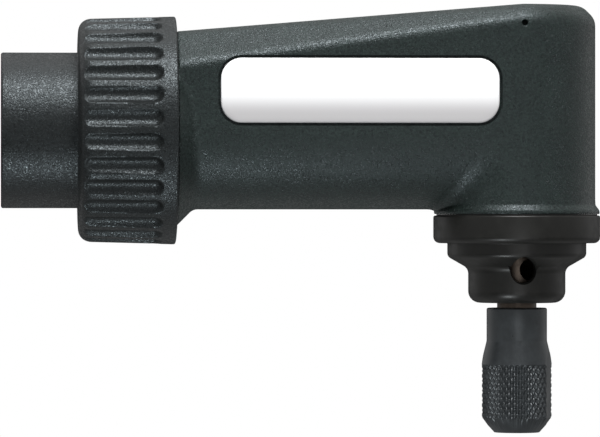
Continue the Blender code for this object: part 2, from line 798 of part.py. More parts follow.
def half_space_angle(distance):
    """Half the tooth space's angle at a distance, on the unrolled back cone."""
    pressure = math.radians(GEAR_PRESSURE_DEG)
    base = BACK_CONE_R * math.cos(pressure)
    here = math.acos(min(1.0, base / distance))
    pitch_involute = math.tan(pressure) - pressure
    half_pitch = math.pi / (GEAR_TEETH / math.cos(PITCH_ANGLE))
    thinning = GEAR_BACKLASH / 2 / (2 * BACK_CONE_R)
    half_tooth = half_pitch / 2 + pitch_involute - (math.tan(here) - here) - thinning
    return half_pitch - half_tooth


def tooth_space_outline():
    """The space between two teeth: up one involute flank and down the other."""
    base = BACK_CONE_R * math.cos(math.radians(GEAR_PRESSURE_DEG))
    reach = TIP_DISTANCE + GEAR_REACH_SHARE * GEAR_MODULE
    distances = [ROOT_DISTANCE, base]
    for i in range(GEAR_FLANK_STEPS):
        distances.append(base + (reach - base) * (i + 1) / GEAR_FLANK_STEPS)
    left = [(distance, -half_space_angle(distance)) for distance in distances]
    right = [(distance, half_space_angle(distance)) for distance in reversed(distances)]
    return left + right


def tooth_space_cutter(name, axis, turn):
    """A cutter for every tooth space, each a loft that shrinks towards the cones' apex."""
    outline = tooth_space_outline()
    toe_scale = TOE_SCALE * GEAR_TOE_OVERCUT
    bm = bmesh.new()
    for i in range(GEAR_TEETH):
        spin = Matrix.Rotation(turn + 2 * math.pi * i / GEAR_TEETH, 4, "Z")
        heel = [bm.verts.new(spin @ gear_point(d, a, GEAR_HEEL_OVERCUT)) for d, a in outline]
        toe = [bm.verts.new(spin @ gear_point(d, a, toe_scale)) for d, a in outline]
        for j in range(len(outline)):
            after = (j + 1) % len(outline)
            bm.faces.new((heel[j], heel[after], toe[after], toe[j]))
        for ends in (heel, toe):
            middle = len(outline) // 2
            for j in range(middle - 1):
                last = len(outline) - 1 - j
                bm.faces.new((ends[j], ends[j + 1], ends[last - 1], ends[last]))
    return place_cutter(name, mesh_from(name, bm), axis)


def cone_point(distance, scale):
    point = gear_point(distance, 0.0, scale)
    return point.x / MM, point.z / MM


def build_bevel_gear(name, axis, seat_r, hub_low, turn):
    """A straight bevel gear whose apex is at the axis empty, with its hub below the teeth."""
    heel_tip = cone_point(TIP_DISTANCE, 1.0)
    toe_tip = cone_point(TIP_DISTANCE, TOE_SCALE)
    toe_root = cone_point(ROOT_DISTANCE, TOE_SCALE)
    behind = cone_point(ROOT_DISTANCE - GEAR_MODULE / 2, 1.0)
    outer = [(GEAR_HUB_R, hub_low), (GEAR_HUB_R, behind[1]), behind, heel_tip, toe_tip, toe_root]
    bore_r = seat_r + FIT_GAP
    inner = [(bore_r, hub_low), (bore_r, toe_root[1])]
    gear = turned(name, axis, BRIGHT_STEEL, outer, inner, 2 * GEAR_TEETH)
    cut(gear, tooth_space_cutter(name + "_tooth_spaces", axis, turn))
    return gear


def cross_pin(name, parent, finish, place, turn_deg, half_length):
    """A plain pin across an axis, with the hole cutter that its two pieces share."""
    side = Vector((math.cos(math.radians(turn_deg)), math.sin(math.radians(turn_deg)), 0.0))
    middle = Vector((0.0, 0.0, place))
    pin_mesh = rod_mesh(name, middle - side * half_length, middle + side * half_length,
                        PIN_R, TINY_STEPS)
    place_part(name, pin_mesh, parent, finish)
    reach = side * (half_length + 2 * OVERCUT)
    hole_mesh = rod_mesh(name + "_hole", middle - reach, middle + reach, PIN_R + FIT_GAP, TINY_STEPS)
    return place_cutter(name + "_hole", hole_mesh, parent)


def build_drive_socket(axis):
    shaft_seat_x = SOCKET_X + SOCKET_HEX_DEPTH
    outer = [(SOCKET_R, SOCKET_X), (SOCKET_R, SOCKET_END_X)]
    inner = [(SHAFT_R + FIT_GAP, SOCKET_X), (SHAFT_R + FIT_GAP, SOCKET_END_X)]
    socket = turned("drive_socket", axis, SPRING_STEEL, outer, inner, SMALL_STEPS)
    corner_r = SOCKET_HEX / math.sqrt(3)
    hexagon = rod_mesh(
        "socket_hexagon", (0, 0, SOCKET_X - OVERCUT), (0, 0, shaft_seat_x), corner_r, 6
    )
    cut(socket, place_cutter("socket_hexagon", hexagon, axis))
    return socket


def build_input_shaft(axis):
    """The shaft from the socket to the pinion's toe, with a groove for its retaining ring."""
    tip_x = SOCKET_X + SOCKET_HEX_DEPTH + SHAFT_TIP_GAP
    groove_low = INPUT_CLIP_X - GROOVE_GAP
    groove_high = INPUT_CLIP_X + CIRCLIP_THICKNESS + GROOVE_GAP
    groove_r = SHAFT_R - CIRCLIP_GROOVE
    step_x = LIP_X - 2 * SEAT_GAP
    toe_x = HEAD_X + cone_point(ROOT_DISTANCE, TOE_SCALE)[1]
    outer = [
        (SHAFT_R, tip_x),
        (SHAFT_R, groove_low),
        (groove_r, groove_low),
        (groove_r, groove_high),
        (SHAFT_R, groove_high),
        (SHAFT_R, step_x),
        (PINION_SEAT_R, step_x),
        (PINION_SEAT_R, toe_x),
    ]
    return turned("input_shaft", axis, BRIGHT_STEEL, closed_profile(outer), steps=SMALL_STEPS)


def build_input_line(still, axis, cage_axes):
    socket = build_drive_socket(axis)
    shaft = build_input_shaft(axis)
    pin_x = (SOCKET_X + SOCKET_HEX_DEPTH + SOCKET_END_X) / 2 + SHAFT_TIP_GAP
    hole = cross_pin("socket_pin", axis, SPRING_STEEL, pin_x, 0.0, SOCKET_R - SEAT_GAP)
    cut(socket, hole)
    cut(shaft, hole)
    clip_end = INPUT_CLIP_X + CIRCLIP_THICKNESS
    shaft_groove_r = SHAFT_R - CIRCLIP_GROOVE
    circlip("input_circlip", axis, shaft_groove_r + FIT_GAP,
            shaft_groove_r + CIRCLIP_HEIGHT, INPUT_CLIP_X, clip_end)
    clip_r = BORE_R + CIRCLIP_GROOVE
    circlip("housing_circlip", still, clip_r - CIRCLIP_HEIGHT, clip_r, INPUT_CLIP_X, clip_end)
    build_bearing("rear_bearing", INPUT_BEARING, REAR_BEARING_X, still, axis, cage_axes[0])
    build_bearing("front_bearing", INPUT_BEARING, FRONT_BEARING_X, still, axis, cage_axes[1])
    spacer_low = REAR_BEARING_X + INPUT_BEARING["width"] + SEAT_GAP
    spacer_high = FRONT_BEARING_X - SEAT_GAP
    spacer_r = INPUT_BEARING["outside"] / 2
    outer, inner = ring_profile(spacer_r - SPACER_WALL, spacer_r, spacer_low, spacer_high)
    turned("bearing_spacer", still, BROWN_STEEL, outer, inner, SMALL_STEPS)
    return shaft


def build_gear_pair(input_axis, output_axis, shaft, spindle):
    pinion_frame = axis_empty("pinion_apex", (0, 0, HEAD_X), parent=input_axis)
    gear_frame = axis_empty("gear_apex", (0, 0, 0), parent=output_axis)
    gear_frame.rotation_euler = (math.pi, 0.0, 0.0)
    pinion_hub = LIP_X - HEAD_X
    gear_hub = -(UPPER_BEARING_Z - SEAT_GAP)
    pinion = build_bevel_gear("bevel_pinion", pinion_frame, PINION_SEAT_R, pinion_hub, 0.0)
    gear = build_bevel_gear("bevel_gear", gear_frame, MESH_ZONE_R, gear_hub, math.pi)
    half_length = GEAR_HUB_R - SEAT_GAP
    pin_place = pinion_hub + GEAR_HUB_R / 2
    pinion_hole = cross_pin("pinion_pin", pinion_frame, SPRING_STEEL, pin_place, 0.0, half_length)
    gear_hole = cross_pin("gear_pin", gear_frame, SPRING_STEEL, gear_hub + GEAR_HUB_R / 2,
                          0.0, half_length)
    cut(pinion, pinion_hole)
    cut(shaft, pinion_hole)
    cut(gear, gear_hole)
    cut(spindle, gear_hole)


def build_spindle(axis):
    """The output spindle, from its threaded nose up to the bearing above the gear."""
    groove_low = SPINDLE_CLIP_Z - GROOVE_GAP
    groove_high = SPINDLE_CLIP_Z + CIRCLIP_THICKNESS + GROOVE_GAP
    groove_r = LOWER_SHAFT_R - CIRCLIP_GROOVE
    body_top = LOWER_BEARING_Z - SEAT_GAP
    top_z = UPPER_BEARING_TOP_Z - SPINDLE_TOP_MARGIN
    upper_r = UPPER_BEARING["bore"] / 2 - FIT_GAP
    outer = [
        (NOSE_THREAD_R - EDGE_BREAK, SPINDLE_END_Z),
        (NOSE_THREAD_R, SPINDLE_END_Z + EDGE_BREAK),
        (NOSE_THREAD_R, NOSE_THREAD_START_Z),
        (NECK_R, NOSE_THREAD_START_Z),
        (NECK_R, SPINDLE_BODY_END_Z),
        (SPINDLE_BODY_R, SPINDLE_BODY_END_Z),
        (SPINDLE_BODY_R, body_top),
        (LOWER_SHAFT_R, body_top),
        (LOWER_SHAFT_R, groove_low),
        (groove_r, groove_low),
        (groove_r, groove_high),
        (LOWER_SHAFT_R, groove_high),
        (LOWER_SHAFT_R, JOURNAL_TOP_Z),
        (upper_r, JOURNAL_TOP_Z),
        (upper_r, top_z),
    ]
    spindle = turned("output_spindle", axis, BROWN_STEEL, closed_profile(outer), steps=SMALL_STEPS)
    bore = rod_mesh(
        "collet_bore", (0, 0, SPINDLE_END_Z - OVERCUT), (0, 0, SPINDLE_END_Z + COLLET_BORE_DEPTH),
        COLLET_BORE_R, SMALL_STEPS,
    )
    cut(spindle, place_cutter("collet_bore", bore, axis))
    turn = math.radians(CROSS_HOLE_TURN_DEG)
    reach = Vector((math.cos(turn), math.sin(turn), 0.0)) * (SPINDLE_BODY_R + OVERCUT)
    middle = Vector((0.0, 0.0, LOCK_HOLE_Z))
    cross = rod_mesh("cross_hole", middle - reach, middle + reach, CROSS_HOLE_R, HOLE_STEPS)
    cut(spindle, place_cutter("cross_hole", cross, axis))
    return spindle


def build_output_line(still, axis, cage_axes):
    spindle = build_spindle(axis)
    groove_r = LOWER_SHAFT_R - CIRCLIP_GROOVE
    clip_end = SPINDLE_CLIP_Z + CIRCLIP_THICKNESS
    circlip("spindle_circlip", axis, groove_r + FIT_GAP, groove_r + CIRCLIP_HEIGHT,
            SPINDLE_CLIP_Z, clip_end)
    clip_r = LOWER_POCKET_R + CIRCLIP_GROOVE
    circlip("cap_circlip", still, clip_r - CIRCLIP_HEIGHT, clip_r, SPINDLE_CLIP_Z, clip_end)
    build_bearing("upper_bearing", UPPER_BEARING, UPPER_BEARING_Z, still, axis, cage_axes[0])
    build_bearing("lower_bearing", LOWER_BEARING, LOWER_BEARING_Z, still, axis, cage_axes[1])
    return spindle


def cap_outline():
    """The cap's outside from the hub's rounded end up over its steps to the spigot."""
    ring_low = FLANGE_TOP_Z + SEAT_GAP
    ring_high = ring_low + 2 * RING_SECTION_R + GROOVE_GAP
    ring_floor = SPIGOT_R - 2 * RING_SECTION_R - GROOVE_GAP / 2
    half_step = (TIER_R - HUB_R) / 2
    half_drop = HUB_CURVE_HEIGHT / 2
    mid_r = HUB_R + half_step
    return [
        *arc((HUB_R - HUB_CORNER, HUB_END_Z + HUB_CORNER), (HUB_CORNER, HUB_CORNER),
             -90, 0, ARC_STEPS),
        *reversed(arc((mid_r, HUB_CURVE_Z), (half_step, half_drop),
                       90, 180, EDGE_STEPS)[1:]),
        *arc((mid_r, TIER_LOW_Z), (half_step, half_drop), -90, 0, ARC_STEPS),
        (TIER_R, FLANGE_LOW_Z),
        *arc((FLANGE_R - FLANGE_EDGE, FLANGE_LOW_Z + FLANGE_EDGE),
             (FLANGE_EDGE, FLANGE_EDGE), -90, 0, EDGE_STEPS),
        (FLANGE_R, FLANGE_TOP_Z - FLANGE_TOP_EDGE),
        (FLANGE_R - FLANGE_TOP_EDGE, FLANGE_TOP_Z),
        (SPIGOT_R, FLANGE_TOP_Z),
        (SPIGOT_R, ring_low),
        (ring_floor, ring_low),
        (ring_floor, ring_high),
        (SPIGOT_R, ring_high),
        (SPIGOT_R, SPIGOT_TOP_Z),
    ]


def build_cap(axis):
    clip_low = SPINDLE_CLIP_Z - GROOVE_GAP
    clip_high = SPINDLE_CLIP_Z + CIRCLIP_THICKNESS + GROOVE_GAP
    clip_r = LOWER_POCKET_R + CIRCLIP_GROOVE + GROOVE_GAP
    pocket_floor = LOWER_BEARING_Z - SEAT_GAP
    neck_hole_r = NECK_R + SEAT_GAP
    bore = [
        (neck_hole_r, HUB_END_Z - OVERCUT),
        (neck_hole_r, HUB_END_Z + HUB_WALL),
        (HUB_BORE_R, HUB_END_Z + HUB_WALL),
        (HUB_BORE_R, pocket_floor),
        (LOWER_POCKET_R, pocket_floor),
        (LOWER_POCKET_R, clip_low),
        (clip_r, clip_low),
        (clip_r, clip_high),
        (LOWER_POCKET_R, clip_high),
        (LOWER_POCKET_R, SPIGOT_TOP_Z + OVERCUT),
    ]
    cap = turned("bearing_cap", axis, CAP_BLACK, closed_profile(cap_outline()), steps=MEDIUM_STEPS)
    cut(cap, turned_cutter("cap_bore", axis, closed_profile(bore), steps=SMALL_STEPS))
    turn = math.radians(LOCK_HOLE_TURN_DEG)
    side = Vector((math.cos(turn), math.sin(turn), 0.0))
    height = Vector((0.0, 0.0, LOCK_HOLE_Z))
    hole = rod_mesh(
        "lock_hole", height + side, height + side * (FLANGE_R + 2 * OVERCUT), LOCK_HOLE_R, SMALL_STEPS
    )
    cut(cap, place_cutter("lock_hole", hole, axis))
    return cap


def build_cap_seals(axis):
    """The ring seal round the spigot and the flat seal round the spindle's neck."""
    ring_z = FLANGE_TOP_Z + SEAT_GAP + RING_SECTION_R + GROOVE_GAP / 2
    ring_r = SPIGOT_R - RING_SECTION_R
    section = (RING_SECTION_R, RING_SECTION_R)
    outer = arc((ring_r, ring_z), section, -90, 90, ARC_STEPS)
    inner = arc((ring_r, ring_z), section, -90, -270, ARC_STEPS)[1:-1]
    turned("cap_o_ring", axis, RUBBER, outer, inner, SMALL_STEPS)
    low = HUB_END_Z + HUB_WALL + SEAT_GAP
    outer, inner = ring_profile(
        NECK_R + FIT_GAP, HUB_BORE_R - FIT_GAP, low, low + SEAL_THICKNESS
    )
    turned("spindle_seal", axis, RUBBER, outer, inner, SMALL_STEPS)


def build_collet(axis):
    """A slotted collet: a plain body that the spindle guides and a taper that the nut closes."""
    high = COLLET_END_Z + COLLET_LENGTH
    outer = [
        (COLLET_NOSE_R, COLLET_END_Z),
        (COLLET_R, COLLET_END_Z + COLLET_NOSE_LENGTH),
        (COLLET_R, high - EDGE_BREAK),
        (COLLET_R - EDGE_BREAK, high),
    ]
    inner = [(COLLET_JAW_R, COLLET_END_Z), (COLLET_JAW_R, high)]
    collet = turned("collet", axis, SPRING_STEEL, outer, inner, SMALL_STEPS)
    half = COLLET_SLOT / 2
    for name, turn_deg in (("collet_slot", COLLET_SLOT_TURN_DEG),
                           ("collet_cross_slot", COLLET_SLOT_TURN_DEG + 90)):
        slot = box_cutter(
            name, axis, (-COLLET_R - OVERCUT, -half, COLLET_END_Z - OVERCUT),
            (COLLET_R + OVERCUT, half, high - COLLET_SOLID_TOP), turn_deg,
        )
        cut(collet, slot)
    return collet


def build_collet_nut(axis):
    cone_z = NUT_TOP_Z - NUT_UPPER_HEIGHT
    full_z = cone_z - NUT_CONE_HEIGHT
    bore_r = NOSE_THREAD_R + FIT_GAP
    seat_z = SPINDLE_END_Z - SEAT_GAP
    outer = [
        (NUT_CHAMFER_R, NUT_END_Z),
        (NUT_R, NUT_END_Z + NUT_CHAMFER_HEIGHT),
        (NUT_R, full_z),
        (NUT_UPPER_R, cone_z),
        (NUT_UPPER_R, NUT_TOP_Z - EDGE_BREAK),
        (NUT_UPPER_R - EDGE_BREAK, NUT_TOP_Z),
    ]
    inner = [
        (NUT_EXIT_R, NUT_END_Z),
        (NUT_EXIT_R, COLLET_END_Z),
        (COLLET_R + GROOVE_GAP, seat_z),
        (bore_r, seat_z),
        (bore_r, NUT_TOP_Z),
    ]
    nut = turned("collet_nut", axis, BLACK_OXIDE, outer, inner, MEDIUM_STEPS)
    half_flats = NUT_FLATS / 2
    beyond = NUT_R + OVERCUT
    for name, near, far in (("nut_flat", half_flats, beyond), ("nut_far_flat", -beyond, -half_flats)):
        flat = box_cutter(
            name, axis, (near, -beyond, NUT_END_Z - OVERCUT), (far, beyond, NUT_TOP_Z + OVERCUT),
            NUT_FLAT_TURN_DEG,
        )
        cut(nut, flat)
    return nut


def settle(part):
    """Keeps the finished shape as a plain mesh, smooth where it is round and sharp at its edges."""
    graph = bpy.context.evaluated_depsgraph_get()
    mesh = bpy.data.meshes.new_from_object(part.evaluated_get(graph))
    mesh.name = part.name
    part.modifiers.clear()
    part.data = mesh
    mesh.shade_smooth()
    mesh.set_sharp_from_angle(angle=math.radians(SHARP_EDGE_DEG))


def main():
    frame = axis_empty("case_frame", (0, 0, 0))
    case_input = axis_empty("case_input_line", (0, 0, 0), along_x=True)
    case_output = axis_empty("case_output_line", (HEAD_X, 0, 0))
    coupling = axis_empty("coupling_joint", (0, 0, 0), along_x=True, turn_deg=COUPLING_TURN_DEG)
    drive = axis_empty("input_joint", (0, 0, 0), along_x=True)
    rear_cage = axis_empty("rear_cage_joint", (0, 0, 0), along_x=True)
    front_cage = axis_empty("front_cage_joint", (0, 0, 0), along_x=True)
    output = axis_empty("output_joint", (HEAD_X, 0, 0))
    upper_cage = axis_empty("upper_cage_joint", (HEAD_X, 0, 0))
    lower_cage = axis_empty("lower_cage_joint", (HEAD_X, 0, 0))
    collet_slide = axis_empty("collet_slide", (0, 0, 0), parent=output)
    nut_turn = axis_empty("collet_nut_joint", (0, 0, 0), parent=collet_slide)

    build_coupling_nut(coupling)
    build_snap_ring(coupling)
    build_housing(frame, case_input, case_output)
    build_nameplate(frame)
    shaft = build_input_line(case_input, drive, (rear_cage, front_cage))
    spindle = build_output_line(case_output, output, (upper_cage, lower_cage))
    build_gear_pair(drive, output, shaft, spindle)
    build_cap(case_output)
    build_cap_seals(case_output)
    build_collet(collet_slide)
    build_collet_nut(nut_turn)

    bpy.context.view_layer.update()
    for part in list(PARTS.objects):
        if part.type == "MESH":
            settle(part)


clear_scene()
PARTS = make_collection("right_angle_attachment")
CUTTERS = make_collection("cutters")
main()
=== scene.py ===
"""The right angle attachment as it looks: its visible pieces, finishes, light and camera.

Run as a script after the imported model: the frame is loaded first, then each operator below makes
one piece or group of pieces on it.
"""

import itertools
import math

import bmesh
import bpy
import numpy as np
from mathutils import Matrix, Vector


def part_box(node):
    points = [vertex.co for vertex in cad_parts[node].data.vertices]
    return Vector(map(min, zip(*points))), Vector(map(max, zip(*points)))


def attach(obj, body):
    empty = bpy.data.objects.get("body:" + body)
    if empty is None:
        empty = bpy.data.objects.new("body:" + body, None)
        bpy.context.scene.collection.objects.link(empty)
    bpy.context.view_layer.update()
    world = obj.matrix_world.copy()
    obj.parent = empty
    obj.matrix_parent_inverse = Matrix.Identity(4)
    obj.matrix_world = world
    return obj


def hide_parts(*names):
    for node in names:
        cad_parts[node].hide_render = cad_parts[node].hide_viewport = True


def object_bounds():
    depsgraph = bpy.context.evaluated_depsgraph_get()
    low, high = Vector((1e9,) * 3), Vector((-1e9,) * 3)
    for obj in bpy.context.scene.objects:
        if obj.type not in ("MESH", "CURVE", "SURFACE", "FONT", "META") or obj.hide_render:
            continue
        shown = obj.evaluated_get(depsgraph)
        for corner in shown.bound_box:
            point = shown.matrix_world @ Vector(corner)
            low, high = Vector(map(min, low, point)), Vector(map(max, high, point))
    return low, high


bl_info = {
    "name": "Right Angle Attachment",
    "version": (1, 0, 0),
    "blender": (4, 5, 0),
    "location": "3D View > Sidebar > Attachment",
    "description": "Builds the visible pieces of a right angle attachment on its packed model",
    "category": "Object",
}

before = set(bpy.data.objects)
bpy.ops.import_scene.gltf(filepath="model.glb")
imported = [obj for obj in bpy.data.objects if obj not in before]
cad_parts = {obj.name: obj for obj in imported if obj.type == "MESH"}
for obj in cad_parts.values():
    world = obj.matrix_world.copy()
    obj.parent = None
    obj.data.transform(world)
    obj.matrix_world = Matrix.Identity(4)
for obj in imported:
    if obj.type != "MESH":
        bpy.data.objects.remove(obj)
CAD_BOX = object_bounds()
MM = 0.001

# Places that the pieces share, in millimetres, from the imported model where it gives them
NUT_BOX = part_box("coupling_nut")
CASE_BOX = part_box("gear_housing")
CAP_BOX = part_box("bearing_cap")
HEAD_X = (CAP_BOX[0].x + CAP_BOX[1].x) / 2 / MM
HEAD_R = 11.45
HEAD_TOP_Z = CASE_BOX[1].z / MM
HEAD_BOTTOM_Z = -12.15
RING_END = NUT_BOX[1].x / MM
FACE_X = RING_END + 0.3
LOCK_HOLE_Z = -20.25
PIN_HOLE_R = 0.58

# The coupling nut, in millimetres
SLEEVE_R = 11.3
SLEEVE_LENGTH = 11.2
RING_START_R = 16.2
RING_R = 16.57
RING_CORNER = 1.9
SKIRT_R = 13.4
FLUTED_FROM_R = 13.0
FLUTE_START = 0.1
FLUTE_RIM = 2.1
THREAD_R = 8.6
THREAD_END = 13.5

# The gear case, in millimetres. An arm slope is where the side's reach and the height add up to it.
ARM_TOP_Z = 14.25
ARM_SLOPE_START = 20.8
ARM_SLOPE_END = 27.7
BELLY_R = 11.48
CONE_R = 13.95
FLARE_START_Z = -10.6
FLARE_HEIGHT = 1.25
FLARE_WIDTH = 0.64
JOURNAL_R = 11.2
COLLAR_R = 12.9
COLLAR_X = (13.8, 16.8)
VENT_Z = 15.4
BADGE_CORNER = 3.0

# How far apart the points lie, in millimetres, that give the slope of a distance
NUDGE = 0.01

# Nearly all values of a noise texture lie between these two
NOISE_SPAN = (0.3, 0.7)

# Turning marks: how many a metre, along X, Y and Z
RINGS_X = (9000.0, 500.0, 500.0)
RINGS_Z = (500.0, 500.0, 9000.0)


def length(label, description, millimetres):
    return bpy.props.FloatProperty(
        name=label, description=description, default=millimetres * MM, unit="LENGTH",
        subtype="DISTANCE", precision=5)


def angle(label, description, degrees):
    return bpy.props.FloatProperty(
        name=label, description=description, default=math.radians(degrees), unit="ROTATION",
        subtype="ANGLE")


def colour(label, description, red, green, blue):
    return bpy.props.FloatVectorProperty(
        name=label, description=description, default=(red, green, blue), size=3, min=0.0,
        max=1.0, subtype="COLOR")


def power(label, description, watts):
    return bpy.props.FloatProperty(
        name=label, description=description, default=watts, unit="POWER", min=0.0)


class CouplingSizes(bpy.types.PropertyGroup):
    """Sizes of the fluted coupling nut."""

    flute_count: bpy.props.IntProperty(
        name="Flutes", description="Grip flutes round the nut", default=30, min=3)
    flute_width: length("Flute Width", "Width of a flute at the nut's surface", 2.55)
    flute_depth: length("Flute Depth", "How deep a flute is cut", 0.95)
    flute_turn: angle("Flute Turn", "How far the first flute stands above the front", 5.3)
    lip_softness: length("Lip Softness", "How far a flute's lip is rounded over", 0.28)
    thread_pitch: length("Thread Pitch", "Pitch of the thread that screws on to the tool", 2.0)
    thread_height: length("Thread Height", "How far the thread stands in from the bore", 0.5)


class CaseSizes(bpy.types.PropertyGroup):
    """Sizes of the moulded gear case."""

    cell: length("Mesh Cell", "Size of the faces on the case", 0.36)
    edge_softness: length("Edge Softness", "Rounding of the ridges and the head's chamfer", 0.75)
    crease_softness: length("Crease Softness", "Rounding where the arm's belly meets the head", 1.7)
    vent_radius: length("Vent Radius", "Radius of the small hole near the head's top", 0.42)


class ColletNutSizes(bpy.types.PropertyGroup):
    """Sizes of the knurled collet nut."""

    knurl_count: bpy.props.IntProperty(
        name="Knurl Count", description="Diamonds in one row round the nut", default=38, min=8)
    knurl_pitch: length("Knurl Pitch", "Length of a diamond along the nut", 1.43)
    knurl_depth: length("Knurl Depth", "Depth of the knurl's grooves", 0.32)
    knurl_low: length("Knurl Bottom", "Height at which the knurl ends", -42.3)
    knurl_high: length("Knurl Top", "Height at which the knurl starts", -34.05)
    flats: length("Across Flats", "Width across the two wrench flats", 9.525)
    flat_turn: angle("Flat Turn", "Direction that the first flat faces", -18.0)


class FinishColours(bpy.types.PropertyGroup):
    """Colours of the finishes."""

    moulding: colour("Case", "Charcoal of the moulded gear case", 0.0066, 0.0105, 0.0090)
    # Painted shade: the coupling nut is the same plastic as the case; its darker charcoal stands in
    # for the lesser light on the nut.
    coupling: colour("Coupling", "Darker charcoal of the coupling nut", 0.0026, 0.0028, 0.0026)
    speck: colour("Speck", "Pale grains that the eroded mould leaves", 0.05, 0.066, 0.069)
    badge_top: colour("Badge Top", "Upper colour of the plain badge", 0.88, 0.88, 0.885)
    # Painted shade: the badge is plain white, and this pale grey on its lower part stands in for
    # shade under the light from above.
    badge_painted_shade: colour("Badge Bottom", "Lower colour of the plain badge", 0.42, 0.41, 0.415)
    black_oxide: colour("Black Oxide", "Blackened steel of the nut", 0.020, 0.023, 0.025)
    cap_black: colour("Cap Black", "Black of the bearing cap", 0.0048, 0.0048, 0.0042)
    brown_steel: colour("Tempered Steel", "Brown of the treated spindle", 0.055, 0.044, 0.036)


class StageSettings(bpy.types.PropertyGroup):
    """Light, floor and camera."""

    top_power: power("Top Light", "Power of the soft light above the front", 5.0)
    low_power: power("Low Light", "Power of the small light below the front", 0.30)
    back_power: power("Back Light", "Power of the wide light above and behind", 0.45)
    front_power: power("Front Light", "Power of the weak light before the head", 0.045)
    sky: bpy.props.FloatProperty(
        name="Room Light", description="Strength of the even light of the room", default=0.12,
        min=0.0)
    floor_drop: length("Floor Drop", "How far the floor lies below the nut", 600)
    camera_turn: angle("Camera Turn", "Direction of the camera round the object", -3.5)
    camera_distance: length("Camera Distance", "From the camera to the object's middle", 728.6)
    lens: bpy.props.FloatProperty(
        name="Lens", description="Focal length of the camera", default=300.0, unit="CAMERA")


class Tree:
    """Adds nodes to a node tree and joins them by socket name or number."""

    def __init__(self, tree):
        self.tree = tree

    def add(self, kind, inputs=None, **settings):
        made = self.tree.nodes.new(kind)
        for name, value in settings.items():
            setattr(made, name, value)
        for name, value in (inputs or {}).items():
            socket = made.inputs[name]
            if isinstance(value, bpy.types.NodeSocket):
                self.tree.links.new(value, socket)
            else:
                socket.default_value = value
        return made

    def link(self, output, socket):
        self.tree.links.new(output, socket)

    def math(self, operation, *values):
        """The result of one Math node in a Geometry Nodes or shader tree."""
        return self.add("ShaderNodeMath", dict(enumerate(values)), operation=operation).outputs[0]

    def times(self, first, second):
        return self.math("MULTIPLY", first, second)

    def plus(self, first, second):
        return self.math("ADD", first, second)

    def minus(self, first, second):
        return self.math("SUBTRACT", first, second)

    def over(self, first, second):
        return self.math("DIVIDE", first, second)

    def spread(self, value, low, high, to_low=0.0, to_high=1.0, **settings):
        """A value taken from one pair of limits to another, and held between them."""
        return self.add("ShaderNodeMapRange", {
            "Value": value, "From Min": low, "From Max": high, "To Min": to_low, "To Max": to_high,
        }, **settings).outputs["Result"]

    def noise(self, where, scale, detail, roughness=0.5):
        return self.add("ShaderNodeTexNoise", {
            "Vector": where, "Scale": scale, "Detail": detail, "Roughness": roughness,
        }).outputs["Fac"]

    def place(self):
        """Where the shaded spot lies on its own piece."""
        return self.add("ShaderNodeTexCoord").outputs["Object"]


# Shared effects of the finishes, as shader node groups


def new_group(name, values):
    """A shader node group with the given inputs that puts out colour, roughness and height."""
    group = bpy.data.node_groups.new(name, "ShaderNodeTree")
    new_socket = group.interface.new_socket
    for label, value in values.items():
        kind = "Float" if isinstance(value, float) else "Vector" if len(value) == 3 else "Color"
        socket = new_socket(name=label, in_out="INPUT", socket_type="NodeSocket" + kind)
        socket.default_value = value
    for label, kind in (("Colour", "Color"), ("Roughness", "Float"), ("Height", "Float")):
        new_socket(name=label, in_out="OUTPUT", socket_type="NodeSocket" + kind)
    tree = Tree(group)
    given = tree.add("NodeGroupInput").outputs
    return group, tree, given, tree.add("NodeGroupOutput").inputs


def moulded_grain_group():
    """The skin that a spark eroded mould leaves on plastic: fine grain and paler specks."""
    group, tree, given, out = new_group("Moulded Grain", {
        "Grain Scale": 3600.0, "Colour": (0.03, 0.03, 0.03, 1.0),
        "Speck Colour": (0.1, 0.1, 0.1, 1.0), "Speck Share": 0.35,
    })
    where = tree.place()
    fine = tree.noise(where, given["Grain Scale"], 2.0, 0.6)
    grains = tree.add("ShaderNodeTexVoronoi", {
        "Vector": where, "Scale": tree.times(given["Grain Scale"], 2.0), "Randomness": 1.0,
    }, feature="F1").outputs
    cloud = tree.noise(where, 260.0, 3.0, 0.55)
    chance = tree.add("ShaderNodeSeparateColor", {"Color": grains["Color"]}).outputs
    picked = tree.math("GREATER_THAN", chance["Red"], 0.6)
    close = tree.spread(grains["Distance"], 0.10, 0.42, 1.0, 0.0)
    share = tree.times(tree.times(picked, close), given["Speck Share"])
    mottled = tree.spread(cloud, *NOISE_SPAN, 0.82, 1.18)
    peppered = tree.spread(fine, *NOISE_SPAN, 0.35, 1.65)
    shade = tree.add("ShaderNodeVectorMath", {
        0: given["Colour"], 1: tree.times(mottled, peppered),
    }, operation="MULTIPLY").outputs["Vector"]
    rough = tree.spread(fine, *NOISE_SPAN, 0.36, 0.50)
    steepness = tree.times(chance["Green"], 0.9)
    tree.link(mix_colours(tree, share, shade, given["Speck Colour"]), out["Colour"])
    tree.link(tree.minus(rough, tree.times(picked, 0.18)), out["Roughness"])
    tree.link(tree.plus(fine, tree.times(grains["Distance"], steepness)), out["Height"])
    return group


